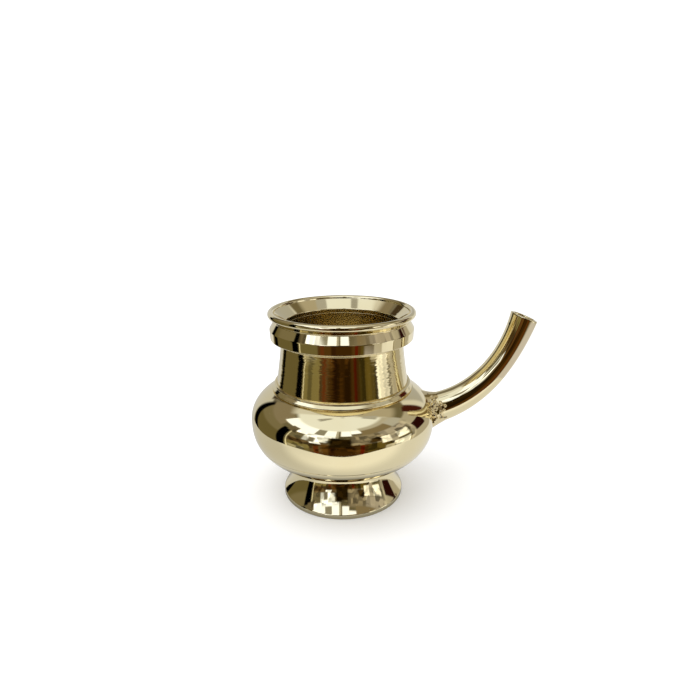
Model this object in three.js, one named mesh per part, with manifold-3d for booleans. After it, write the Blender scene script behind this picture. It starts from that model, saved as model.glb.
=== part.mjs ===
// Spouted brass water pot (kindi): turned shells and rings brazed together on one upright axis,
// with a tapered, bent spout on the +X side. Millimetres, +Z up.
import * as THREE from 'three';
import { mergeVertices } from 'three/addons/utils/BufferGeometryUtils.js';
import Module from 'manifold-3d';

const wasm = await Module();
wasm.setup();

// Foot
const footRadius = 32;
const footBandHeight = 2.2;
const footRimWidth = 3.6;
const footWall = 2.6;
const waistRadius = 24;
const flarePower = 2;

// Belly
const bellyRadius = 47.5;
const equatorHeight = 43.7;
const lowerBellyDepth = 26.75;
const upperBellyRise = 22.65;
const lowerFullness = 2.54;
const upperFullness = 2.17;
const bellyWall = 2.2;
const lapHeight = 3;
const seamMargin = 1;
const neckSeatThickness = 2.4;
const neckSeatRootWidth = 1.6;

// Band at the base of the neck
const ringSeatRadius = 36.1;
const ringHeight = 3.6;
const ringGrooveRadius = 35.3;
const ringGrooveHeight = 0.4;
const lowBeadRadius = 35.9;
const lowBeadHeight = 1;
const topBeadRadius = 35;
const topBeadHeight = 0.7;
const beadBevel = 0.25;
const bandTopRadius = 34.4;

// Neck
const neckLength = 21.05;
const neckBaseRadius = 33.7;
const neckTopRadius = 31;
const neckFlarePower = 1.3;
const neckWall = 2.5;
const baseRegisterDepth = 1.1;
const topRegisterDepth = 0.6;

// Collar
const collarHeight = 10.8;
const collarRadius = 36.3;
const collarTopRadius = 34.1;
const collarBevelHeight = 3.9;
const collarFaceTaper = 0.3;
const collarUndercut = 2.2;
const collarEdgeBreak = 0.3;
const collarLedgeWidth = 1;
const collarLedgeHeight = 0.8;
const neckIntoCollar = 7.5;

// Lip
const lipHeight = 5.2;
const rimCentreRadius = 35.4;
const rimRadius = 1.6;
const throatDrop = 6.3;
const lipNeckHeight = 0.4;
const rimUndercutAngle = -75;
const rimInnerAngle = 180;

// Spout
const spoutInset = 7.5;
const spoutRootRise = 0.9;
const spoutReach = 44.1;
const spoutRise = 51.1;
const spoutRootAngle = THREE.MathUtils.degToRad(7.4);
const spoutRootHandle = 36;
const spoutTipAngle = THREE.MathUtils.degToRad(75.7);
const spoutTipHandle = 15.5;
const spoutTipCut = THREE.MathUtils.degToRad(68.7);
const spoutRootRadius = 8.6;
const spoutWaistRadius = 6.25;
const spoutTipRadius = 6.9;
const spoutWaistPlace = 0.72;
const spoutTaperPower = 1.6;
const spoutMouthPower = 2;
const spoutWall = 1.6;

// Brazing
const filletReach = 4.2;
const filletLength = 7;
const filletSunk = 7;
const filletPower = 2.2;
const lumpDepth = 0.05;
const lumpPitch = 3.6;
const beadHalfWidth = 0.8;
const footFilletSize = 1.8;

// Fits and facets
const registerClearance = 0.1;
const cutClearance = 0.3;
const turnFacets = 48;
const arcSteps = 6;
const spoutFacets = 20;
const spoutSteps = 18;
const spoutOvershoot = 4;
const spoutBoreLength = 45;

const point = (radius, height) => new THREE.Vector2(radius, height);

// Heights that the stacked pieces share. The belly's lap joint lies just under the spout's root.
const ringSeatAngle = angleAtRadius(ringSeatRadius, 1);
const ringSeat = bellyPoint(ringSeatAngle).y;
const neckStep = ringSeat + ringHeight;
const collarSeat = neckStep + neckLength;
const collarTop = collarSeat + collarHeight;
const neckTop = collarSeat + neckIntoCollar;
const potTop = collarTop + lipHeight;
const neckBore = neckBaseRadius - neckWall;
const throatRadius = neckTopRadius - neckWall;
const spoutRootHeight = equatorHeight + spoutRootRise;
const lapTop = spoutRootHeight - spoutRootRadius - seamMargin;
const seamAngle = angleAtHeight(lapTop - lapHeight);
const lapAngle = angleAtHeight(lapTop);

// The belly's outline is two superellipses, one under and one over its widest circle. The angle runs
// from -90 degrees at the bottom through 0 at the widest circle, and inset is measured into the wall.
function bellyPoint(angle, inset = 0) {
  const side = Math.sign(angle);
  const fullness = side < 0 ? lowerFullness : upperFullness;
  const reach = side < 0 ? lowerBellyDepth : upperBellyRise;
  const across = Math.cos(angle) ** (2 / fullness);
  const along = Math.sin(Math.abs(angle)) ** (2 / fullness);
  const outward = point(across ** (fullness - 1) / bellyRadius, side * along ** (fullness - 1) / reach);
  const onSkin = point(bellyRadius * across, equatorHeight + side * reach * along);
  return onSkin.addScaledVector(outward.normalize(), -inset);
}

function angleAtRadius(radius, side) {
  const fullness = side < 0 ? lowerFullness : upperFullness;
  return side * Math.acos((radius / bellyRadius) ** (fullness / 2));
}

function angleAtHeight(height) {
  const side = Math.sign(height - equatorHeight);
  const fullness = side < 0 ? lowerFullness : upperFullness;
  const reach = side < 0 ? lowerBellyDepth : upperBellyRise;
  return side * Math.asin((Math.abs(height - equatorHeight) / reach) ** (fullness / 2));
}

function bellyArc(from, to, steps, inset = 0) {
  const points = [];
  for (let step = 0; step <= steps; step += 1) {
    points.push(bellyPoint(from + ((to - from) * step) / steps, inset));
  }
  return points;
}

function circleArc(centre, radius, fromDegrees, toDegrees, steps) {
  const points = [];
  for (let step = 0; step <= steps; step += 1) {
    const angle = THREE.MathUtils.degToRad(fromDegrees + ((toDegrees - fromDegrees) * step) / steps);
    points.push(point(centre.x + radius * Math.cos(angle), centre.y + radius * Math.sin(angle)));
  }
  return points;
}

// A profile climbs its outer side and comes back down its inner side; the loop is closed here
// unless both ends lie on the axis.
function turn(profile, facets = turnFacets) {
  const loop = profile[0].x === 0 ? profile : [...profile, profile[0].clone()];
  return new THREE.LatheGeometry(loop, facets).rotateX(Math.PI / 2);
}

function solidOf(geometry) {
  const bare = geometry.clone();
  bare.deleteAttribute('normal');
  bare.deleteAttribute('uv');
  const merged = mergeVertices(bare, 1e-4);
  const corners = [...merged.index.array];
  const faces = [];
  for (let first = 0; first < corners.length; first += 3) {
    const [a, b, c] = corners.slice(first, first + 3);
    if (a !== b && b !== c && c !== a) {
      faces.push(a, b, c);
    }
  }
  const mesh = new wasm.Mesh({
    numProp: 3,
    vertProperties: new Float32Array(merged.attributes.position.array),
    triVerts: new Uint32Array(faces),
  });
  return new wasm.Manifold(mesh);
}

function geometryOf(solid) {
  const mesh = solid.getMesh();
  const geometry = new THREE.BufferGeometry();
  geometry.setAttribute('position', new THREE.BufferAttribute(new Float32Array(mesh.vertProperties), 3));
  geometry.setIndex(new THREE.BufferAttribute(new Uint32Array(mesh.triVerts), 1));
  geometry.computeVertexNormals();
  return geometry;
}

// Foot: a band at the floor, then a flare that narrows to the waist under the bowl.
const waistSeatOuter = angleAtRadius(waistRadius, -1);
const waistSeatInner = angleAtRadius(waistRadius - footWall, -1);

function flareRadius(height) {
  const top = bellyPoint(waistSeatOuter).y;
  const left = (top - height) / (top - footBandHeight);
  return waistRadius + (footRadius - waistRadius) * left ** flarePower;
}

function flareArc(inset) {
  const top = bellyPoint(waistSeatOuter).y;
  const points = [];
  for (let step = 0; step < arcSteps; step += 1) {
    const height = footBandHeight + ((top - footBandHeight) * step) / arcSteps;
    points.push(point(flareRadius(height) - inset, height));
  }
  return points;
}

function footShape() {
  return turn([
    point(footRadius, 0),
    ...flareArc(0),
    bellyPoint(waistSeatOuter),
    bellyPoint(waistSeatInner),
    ...flareArc(footWall).slice(1).reverse(),
    point(footRadius - footRimWidth, 0),
  ]);
}

function lowerBowlShape() {
  const bottom = equatorHeight - lowerBellyDepth;
  const lapInset = bellyWall / 2 + registerClearance;
  return turn([
    point(0, bottom),
    ...bellyArc(-Math.PI / 2, waistSeatInner, 2).slice(1),
    ...bellyArc(waistSeatOuter, seamAngle, arcSteps),
    bellyPoint(seamAngle, lapInset),
    bellyPoint(lapAngle, lapInset),
    ...bellyArc(lapAngle, -Math.PI / 2, arcSteps, bellyWall).slice(0, -1),
    point(0, bottom + bellyWall),
  ]);
}

// The lap tongue stops short of the shoulder's ledge by the register clearance.
function shoulderShape() {
  const ledgeAngle = angleAtHeight(lapTop + registerClearance);
  const seatRootAngle = angleAtRadius(ringSeatRadius + neckSeatRootWidth, 1);
  return turn([
    ...bellyArc(seamAngle, ringSeatAngle, 2 * arcSteps),
    point(neckBore, ringSeat),
    point(neckBore, ringSeat - neckSeatThickness),
    ...bellyArc(seatRootAngle, ledgeAngle, 2 * arcSteps, bellyWall),
    bellyPoint(ledgeAngle, bellyWall / 2),
    bellyPoint(seamAngle, bellyWall / 2),
  ]);
}

// Band: a groove over the belly, a bead, a face that slopes in as it climbs, and a second bead.
function ringShape() {
  const bore = neckBaseRadius - baseRegisterDepth + registerClearance;
  const lowBead = ringSeat + ringGrooveHeight;
  const topBead = neckStep - topBeadHeight;
  return turn([
    point(ringGrooveRadius, ringSeat),
    point(ringGrooveRadius, lowBead),
    point(lowBeadRadius, lowBead + beadBevel),
    point(lowBeadRadius, lowBead + lowBeadHeight - beadBevel),
    point(lowBeadRadius - beadBevel, lowBead + lowBeadHeight),
    point(bandTopRadius, topBead - beadBevel),
    point(topBeadRadius, topBead),
    point(topBeadRadius, neckStep - beadBevel),
    point(bandTopRadius, neckStep),
    point(bore, neckStep),
    point(bore, ringSeat),
  ]);
}

function neckRadius(height) {
  const down = (collarSeat - height) / neckLength;
  return neckTopRadius + (neckBaseRadius - neckTopRadius) * down ** neckFlarePower;
}

function neckArc(inset) {
  const points = [];
  for (let step = 0; step <= arcSteps; step += 1) {
    const height = neckStep + (neckLength * step) / arcSteps;
    points.push(point(neckRadius(height) - inset, height));
  }
  return points;
}

function neckShape() {
  return turn([
    point(neckBaseRadius - baseRegisterDepth, ringSeat),
    point(neckBaseRadius - baseRegisterDepth, neckStep),
    ...neckArc(0),
    point(neckTopRadius - topRegisterDepth, collarSeat),
    point(neckTopRadius - topRegisterDepth, neckTop),
    point(throatRadius, neckTop),
    ...neckArc(neckWall).reverse(),
    point(neckBore, ringSeat),
  ]);
}

// Collar: a small bead at its foot, an undercut, an upright face, then a bevel up to the groove under the lip.
function collarShape() {
  const bore = neckTopRadius - topRegisterDepth + registerClearance;
  const ledge = neckTopRadius + collarLedgeWidth;
  const faceFoot = collarRadius - collarFaceTaper;
  return turn([
    point(ledge, collarSeat),
    point(ledge + collarEdgeBreak, collarSeat + collarEdgeBreak),
    point(ledge + collarEdgeBreak, collarSeat + collarLedgeHeight),
    point(faceFoot - collarEdgeBreak, collarSeat + collarUndercut - collarEdgeBreak),
    point(faceFoot, collarSeat + collarUndercut),
    point(collarRadius, collarTop - collarBevelHeight),
    point(collarTopRadius, collarTop),
    point(bore, collarTop),
    point(bore, collarSeat),
  ]);
}

// Lip: a spigot inside the collar, a flared wall, and a round bead rolled outwards at the rim.
function lipShape() {
  const rim = point(rimCentreRadius, potTop - rimRadius);
  const spigot = neckTopRadius - topRegisterDepth;
  return turn([
    point(throatRadius, neckTop),
    point(spigot, neckTop),
    point(spigot, collarTop),
    point(collarTopRadius, collarTop),
    point(collarTopRadius, collarTop + lipNeckHeight),
    ...circleArc(rim, rimRadius, rimUndercutAngle, rimInnerAngle, arcSteps),
    point(throatRadius, potTop - throatDrop),
  ]);
}

// Spout: turned straight as a tapered tube, then bent along its centre line.
const spoutRoot = new THREE.Vector3(bellyRadius - spoutInset, 0, spoutRootHeight);
const spoutTip = new THREE.Vector3(bellyRadius + spoutReach, 0, spoutRoot.z + spoutRise);
const spoutLine = new THREE.CubicBezierCurve3(
  spoutRoot,
  new THREE.Vector3(Math.cos(spoutRootAngle), 0, Math.sin(spoutRootAngle))
    .multiplyScalar(spoutRootHandle)
    .add(spoutRoot),
  new THREE.Vector3(Math.cos(spoutTipAngle), 0, Math.sin(spoutTipAngle))
    .multiplyScalar(-spoutTipHandle)
    .add(spoutTip),
  spoutTip,
);
const spoutLength = spoutLine.getLength();

// The tube narrows from its root to a waist and opens again at its tip.
function spoutRadius(share) {
  const towardsRoot = Math.max(0, 1 - share / spoutWaistPlace);
  const towardsTip = Math.max(0, (share - spoutWaistPlace) / (1 - spoutWaistPlace));
  const rootGain = (spoutRootRadius - spoutWaistRadius) * towardsRoot ** spoutTaperPower;
  const tipGain = (spoutTipRadius - spoutWaistRadius) * towardsTip ** spoutMouthPower;
  return spoutWaistRadius + rootGain + tipGain;
}

function bendAlongSpout(geometry) {
  const places = geometry.attributes.position;
  for (let index = 0; index < places.count; index += 1) {
    const share = places.getZ(index) / spoutLength;
    const inside = THREE.MathUtils.clamp(share, 0, 1);
    const centre = spoutLine.getPointAt(inside);
    const along = spoutLine.getTangentAt(inside);
    const below = new THREE.Vector3(along.z, 0, -along.x);
    centre.addScaledVector(along, (share - inside) * spoutLength);
    centre.addScaledVector(below, places.getX(index));
    places.setXYZ(index, centre.x, places.getY(index), centre.z);
  }
  return geometry;
}

// A solid bar along the spout, thicker or thinner than the tube by radiusChange. Its ends are
// lengths along the centre line.
function spoutBar(radiusChange, start, end) {
  const profile = [point(0, start)];
  for (let step = 0; step <= spoutSteps; step += 1) {
    const length = start + ((end - start) * step) / spoutSteps;
    profile.push(point(spoutRadius(length / spoutLength) + radiusChange, length));
  }
  profile.push(point(0, end));
  return solidOf(bendAlongSpout(turn(profile, spoutFacets)));
}

// Everything inside the belly's skin, at an inset from the outside.
function bellyCore(inset) {
  const topAngle = angleAtRadius(neckBore, 1);
  return solidOf(
    turn([
      point(0, equatorHeight - lowerBellyDepth + inset),
      ...bellyArc(-Math.PI / 2, topAngle, 4 * arcSteps, inset).slice(1),
      point(0, bellyPoint(topAngle, inset).y),
    ]),
  );
}

// A block beyond the slanting cut across the spout's tip.
function tipCutter() {
  const side = bellyRadius;
  const block = new THREE.BoxGeometry(side, side, side);
  block.translate(0, 0, side / 2);
  block.rotateY(Math.PI / 2 - spoutTipCut);
  block.translate(spoutTip.x, spoutTip.y, spoutTip.z);
  return solidOf(block);
}

function spoutShape() {
  const pastTip = spoutLength + spoutOvershoot;
  const bore = spoutBar(-spoutWall, -spoutOvershoot, pastTip + spoutOvershoot);
  const tube = spoutBar(0, 0, pastTip).subtract(bore);
  return geometryOf(tube.subtract(bellyCore(bellyWall)).subtract(tipCutter()));
}

// Filler round the spout's root: a flared sleeve, thickest at the belly and lumpy on its -Y side,
// that is trimmed to the belly's skin and to the tube.
function filletSleeve() {
  const start = spoutInset - filletSunk;
  const end = spoutInset + filletLength;
  const profile = [point(0, start)];
  for (let step = 0; step <= arcSteps; step += 1) {
    const length = start + ((end - start) * step) / arcSteps;
    const build = filletReach * (1 - step / arcSteps) ** filletPower + 2 * cutClearance;
    profile.push(point(spoutRadius(length / spoutLength) + build, length));
  }
  profile.push(point(0, end));
  const sleeve = turn(profile, spoutFacets);
  const places = sleeve.attributes.position;
  for (let index = 0; index < places.count; index += 1) {
    const place = new THREE.Vector3().fromBufferAttribute(places, index);
    const facing = Math.max(0, -place.y / spoutRootRadius);
    const wave = Math.sin(place.x * lumpPitch) * Math.cos(place.z * lumpPitch);
    const growth = 1 + lumpDepth * facing * wave;
    places.setXYZ(index, place.x * growth, place.y * growth, place.z);
  }
  return solidOf(bendAlongSpout(sleeve));
}

function spoutBrazeShape() {
  const sleeve = filletSleeve().subtract(bellyCore(-cutClearance));
  return geometryOf(sleeve.subtract(spoutBar(cutClearance, 0, spoutBoreLength)));
}

function shoulderWithBore() {
  return geometryOf(solidOf(shoulderShape()).subtract(spoutBar(cutClearance, 0, spoutBoreLength)));
}

// A half-round bead of filler on the inside of a seam.
function innerBead(centre, intoPot) {
  const along = point(-intoPot.y, intoPot.x);
  const points = [];
  for (let degrees = 0; degrees <= 180; degrees += 60) {
    const angle = THREE.MathUtils.degToRad(degrees);
    points.push(
      centre
        .clone()
        .addScaledVector(intoPot, cutClearance + beadHalfWidth * Math.sin(angle))
        .addScaledVector(along, beadHalfWidth * Math.cos(angle)),
    );
  }
  return turn(points.reverse());
}

function bellyBrazeShape() {
  const skin = bellyPoint(lapAngle, bellyWall);
  const intoPot = skin.clone().sub(bellyPoint(lapAngle)).normalize();
  return innerBead(skin, intoPot);
}

function neckBrazeShape() {
  return innerBead(point(neckBore, ringSeat), point(-1, 0));
}

// Fillet in the corner between the foot's waist and the underside of the bowl.
function footBrazeShape() {
  const reachAngle = angleAtRadius(waistRadius + footFilletSize, -1);
  const lowest = bellyPoint(waistSeatOuter).y - footFilletSize;
  const corner = bellyPoint(waistSeatOuter, -registerClearance);
  const outer = bellyPoint(reachAngle, -registerClearance);
  const foot = point(flareRadius(lowest) + registerClearance, lowest);
  corner.x = foot.x;
  return turn([foot, outer, corner]);
}

function brass(colour, roughness) {
  return new THREE.MeshStandardMaterial({ color: colour, roughness, metalness: 1 });
}

const pot = new THREE.Group();

function addPiece(name, geometry, material) {
  const piece = new THREE.Mesh(geometry, material);
  piece.name = name;
  pot.add(piece);
}

const polished = brass(0xd9c27a, 0.08);
const turned = brass(0xcfb66c, 0.15);
const filler = brass(0xbfa465, 0.35);

addPiece('foot', footShape(), polished);
addPiece('foot_braze', footBrazeShape(), filler);
addPiece('lower_bowl', lowerBowlShape(), polished);
addPiece('belly_braze', bellyBrazeShape(), filler);
addPiece('shoulder', shoulderWithBore(), polished);
addPiece('neck_base_ring', ringShape(), turned);
addPiece('neck', neckShape(), turned);
addPiece('neck_braze', neckBrazeShape(), filler);
addPiece('collar_band', collarShape(), polished);
addPiece('lip_ring', lipShape(), polished);
addPiece('spout_tube', spoutShape(), polished);
addPiece('spout_braze', spoutBrazeShape(), filler);

// The origin lies on the floor under the middle of the pot's outer box.
const outerBox = new THREE.Box3().setFromObject(pot);
const middle = outerBox.getCenter(new THREE.Vector3());
pot.position.set(-middle.x, -middle.y, -outerBox.min.z);

export default pot;
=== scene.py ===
"""Spouted brass water pot (kindi): smooth turned shells, a bent pouring spout and lumpy filler metal.

Every size is in millimetres on the pot's own axis. A mesh is scaled to metres and set on the frame's
axis as it is made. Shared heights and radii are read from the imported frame.
"""

from __future__ import annotations

import logging
import math
from dataclasses import dataclass
from enum import Enum
from typing import Callable, ClassVar, Iterable, Sequence

import bmesh
import bpy
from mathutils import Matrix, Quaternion, Vector, noise


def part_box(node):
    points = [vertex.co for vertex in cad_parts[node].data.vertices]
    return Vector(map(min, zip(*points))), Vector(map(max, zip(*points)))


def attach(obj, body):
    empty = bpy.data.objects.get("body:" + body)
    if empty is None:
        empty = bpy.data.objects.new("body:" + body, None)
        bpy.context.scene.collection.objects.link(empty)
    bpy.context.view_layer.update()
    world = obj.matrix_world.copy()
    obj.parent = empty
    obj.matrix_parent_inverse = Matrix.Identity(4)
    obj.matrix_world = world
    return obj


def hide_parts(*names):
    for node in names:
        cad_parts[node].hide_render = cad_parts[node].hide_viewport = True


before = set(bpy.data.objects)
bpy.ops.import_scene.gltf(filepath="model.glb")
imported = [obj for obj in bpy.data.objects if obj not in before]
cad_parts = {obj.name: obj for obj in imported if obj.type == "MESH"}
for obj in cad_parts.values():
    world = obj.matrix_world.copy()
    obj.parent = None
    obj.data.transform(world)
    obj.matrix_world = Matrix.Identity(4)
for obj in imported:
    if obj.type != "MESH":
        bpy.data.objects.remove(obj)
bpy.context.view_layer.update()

LOG = logging.getLogger("water_pot")
MM = 0.001
BODY = "root"
INSIDE_ATTRIBUTE = "inside"
FRONT_ATTRIBUTE = "front"
SAME_PLACE = 1e-7
BISECTIONS = 24
EQUATOR_HEIGHT = 43.7
BELLY_RISE = 22.65

Colour = tuple[float, float, float]
Point = tuple[float, float]
Ring = list[Vector]
Socket = bpy.types.NodeSocket


class Side(Enum):
    """Which side of a shell a point of its outline lies on."""

    OUTSIDE = 0.0
    INSIDE = 1.0


# ---------------------------------------------------------------------------------------------
# Sizes that the pieces share
# ---------------------------------------------------------------------------------------------


def corners_in_mm(node: str) -> tuple[Vector, Vector]:
    """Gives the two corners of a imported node's box.

    Args:
        node: The node's name.

    Returns:
        Its lowest and highest corner, in millimetres in the row frame.
    """
    low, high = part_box(node)
    return low / MM, high / MM


@dataclass(frozen=True)
class PotFrame:
    """Heights and radii at which neighbouring pieces meet, in millimetres."""

    axis_x: float
    foot_radius: float
    belly_radius: float
    bowl_bottom: float
    seam_height: float
    ring_seat: float
    neck_step: float
    collar_seat: float
    collar_top: float
    neck_top: float
    pot_top: float

    @classmethod
    def measured(cls) -> PotFrame:
        """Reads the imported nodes' boxes.

        Returns:
            The shared sizes.
        """
        foot_low, foot_high = corners_in_mm("foot")
        shoulder_low, shoulder_high = corners_in_mm("shoulder")
        band_low, band_high = corners_in_mm("neck_base_ring")
        collar_low, collar_high = corners_in_mm("collar_band")
        lip_low, lip_high = corners_in_mm("lip_ring")
        return cls(
            axis_x=(foot_low.x + foot_high.x) / 2,
            foot_radius=(foot_high.x - foot_low.x) / 2,
            belly_radius=(shoulder_high.y - shoulder_low.y) / 2,
            bowl_bottom=corners_in_mm("lower_bowl")[0].z,
            seam_height=shoulder_low.z,
            ring_seat=band_low.z,
            neck_step=band_high.z,
            collar_seat=collar_low.z,
            collar_top=collar_high.z,
            neck_top=lip_low.z,
            pot_top=lip_high.z,
        )


@dataclass(frozen=True)
class BellySkin:
    """The belly's outline: one superellipse under its widest circle and one over it.

    An angle runs from -90 degrees at the bottom through 0 at the widest circle.
    """

    radius: float
    equator: float
    depth: float
    rise: float
    lower_fullness: float = 2.54
    upper_fullness: float = 2.17

    def side_sizes(self, side: float) -> tuple[float, float]:
        """Gives the fullness and the reach under (side below 0) or over the widest circle."""
        if side < 0:
            return self.lower_fullness, self.depth
        return self.upper_fullness, self.rise

    def point(self, angle: float, inset: float = 0.0) -> tuple[float, float]:
        """Finds a point of the outline.

        Args:
            angle: Its place on the outline, in radians.
            inset: How far into the wall it lies.

        Returns:
            Its radius and height.
        """
        side = math.copysign(1.0, angle)
        fullness, reach = self.side_sizes(side)
        across = max(0.0, math.cos(angle)) ** (2 / fullness)
        along = math.sin(abs(angle)) ** (2 / fullness)
        outward = Vector((across ** (fullness - 1) / self.radius, side * along ** (fullness - 1) / reach))
        outward.normalize()
        return (
            self.radius * across - inset * outward.x,
            self.equator + side * reach * along - inset * outward.y,
        )

    def angle_at_radius(self, radius: float, side: float) -> float:
        """Gives the angle at a radius, under (side -1) or over (side 1) the widest circle."""
        fullness, _ = self.side_sizes(side)
        return side * math.acos((radius / self.radius) ** (fullness / 2))

    def angle_at_height(self, height: float) -> float:
        """Gives the angle at a height."""
        side = math.copysign(1.0, height - self.equator)
        fullness, reach = self.side_sizes(side)
        return side * math.asin((abs(height - self.equator) / reach) ** (fullness / 2))

    def arc(self, start: float, end: float, steps: int, inset: float = 0.0) -> list[Point]:
        """Follows the outline.

        Args:
            start: The first angle.
            end: The last angle.
            steps: How many steps lie between them.
            inset: How far into the wall the points lie.

        Returns:
            The points' radii and heights.
        """
        return [self.point(start + (end - start) * step / steps, inset) for step in range(steps + 1)]

    def holds(self, place: Vector, inset: float) -> bool:
        """Tells whether a place, on the pot's own axis, is deeper than inset under the skin.

        Args:
            place: The place, on the pot's own axis.
            inset: The depth.

        Returns:
            Whether it is.
        """
        fullness, reach = self.side_sizes(place.z - self.equator)
        across = math.hypot(place.x, place.y) / (self.radius - inset)
        along = abs(place.z - self.equator) / (reach - inset)
        return across**fullness + along**fullness < 1


# ---------------------------------------------------------------------------------------------
# Outlines of turned pieces
# ---------------------------------------------------------------------------------------------


@dataclass(frozen=True)
class Station:
    """One point of a turned piece's outline, with the radius to which its corner is rounded off."""

    radius: float
    height: float
    side: Side = Side.OUTSIDE
    rounding: float = 0.0

    def flat(self) -> Vector:
        """Gives the point as a flat vector."""
        return Vector((self.radius, self.height))


class Outline:
    """The cut edge of a turned piece, climbed on its outer side and followed back down inside."""

    corner_steps = 5
    corner_share = 0.45
    row_pitch = 0.9
    edge_pitch = 0.12
    shortest_step = 1e-6

    def __init__(self, closed: bool = True) -> None:
        """Starts an empty outline, whose last point meets its first if it is closed."""
        self.stations: list[Station] = []
        self.closed = closed

    def add(
        self,
        points: Iterable[tuple[float, float]],
        side: Side = Side.OUTSIDE,
        rounding: float = 0.0,
    ) -> Outline:
        """Adds points.

        Args:
            points: Their radii and heights.
            side: The side of the shell that they lie on.
            rounding: The radius to which their corners are rounded off.

        Returns:
            The same outline.
        """
        self.stations += [Station(radius, height, side, rounding) for radius, height in points]
        return self

    def rounded(self) -> list[Station]:
        """Rounds off each corner that asks for it.

        Returns:
            The stations, with a short arc in the place of each such corner.
        """
        made: list[Station] = []
        count = len(self.stations)
        for index, corner in enumerate(self.stations):
            inner = self.closed or 0 < index < count - 1
            if corner.rounding == 0 or not inner:
                made.append(corner)
                continue
            here = corner.flat()
            before = self.stations[index - 1].flat() - here
            after = self.stations[(index + 1) % count].flat() - here
            reach = min(corner.rounding, self.corner_share * before.length, self.corner_share * after.length)
            start = here + before.normalized() * reach
            end = here + after.normalized() * reach
            for step in range(self.corner_steps + 1):
                share = step / self.corner_steps
                place = start.lerp(here, share).lerp(here.lerp(end, share), share)
                made.append(Station(place.x, place.y, corner.side))
        return made

    def rows(self) -> list[Station]:
        """Gives the stations of the finished outline, with short rows beside every edge.

        Returns:
            The stations, closed by the first one again where the outline is closed.
        """
        corners = self.rounded()
        if self.closed:
            corners.append(corners[0])
        made = [corners[0]]
        for first, last in zip(corners, corners[1:]):
            start, end = first.flat(), last.flat()
            length = (end - start).length
            if length < self.shortest_step:
                continue
            if length > self.row_pitch:
                count = math.ceil(length / self.row_pitch)
                inner = [self.edge_pitch / length, *[step / count for step in range(1, count)]]
                for share in [*inner, 1 - self.edge_pitch / length]:
                    place = start.lerp(end, share)
                    made.append(Station(place.x, place.y, last.side))
            made.append(last)
        return made


def circle_arc(
    centre: tuple[float, float], radius: float, start: float, end: float, steps: int
) -> list[Point]:
    """Follows a circle.

    Args:
        centre: The centre's radius and height.
        radius: The circle's radius.
        start: The first angle, in degrees.
        end: The last angle, in degrees.
        steps: How many steps lie between them.

    Returns:
        The points' radii and heights.
    """
    angles = [math.radians(start + (end - start) * step / steps) for step in range(steps + 1)]
    return [(centre[0] + radius * math.cos(a), centre[1] + radius * math.sin(a)) for a in angles]


# ---------------------------------------------------------------------------------------------
# Node trees
# ---------------------------------------------------------------------------------------------


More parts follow.
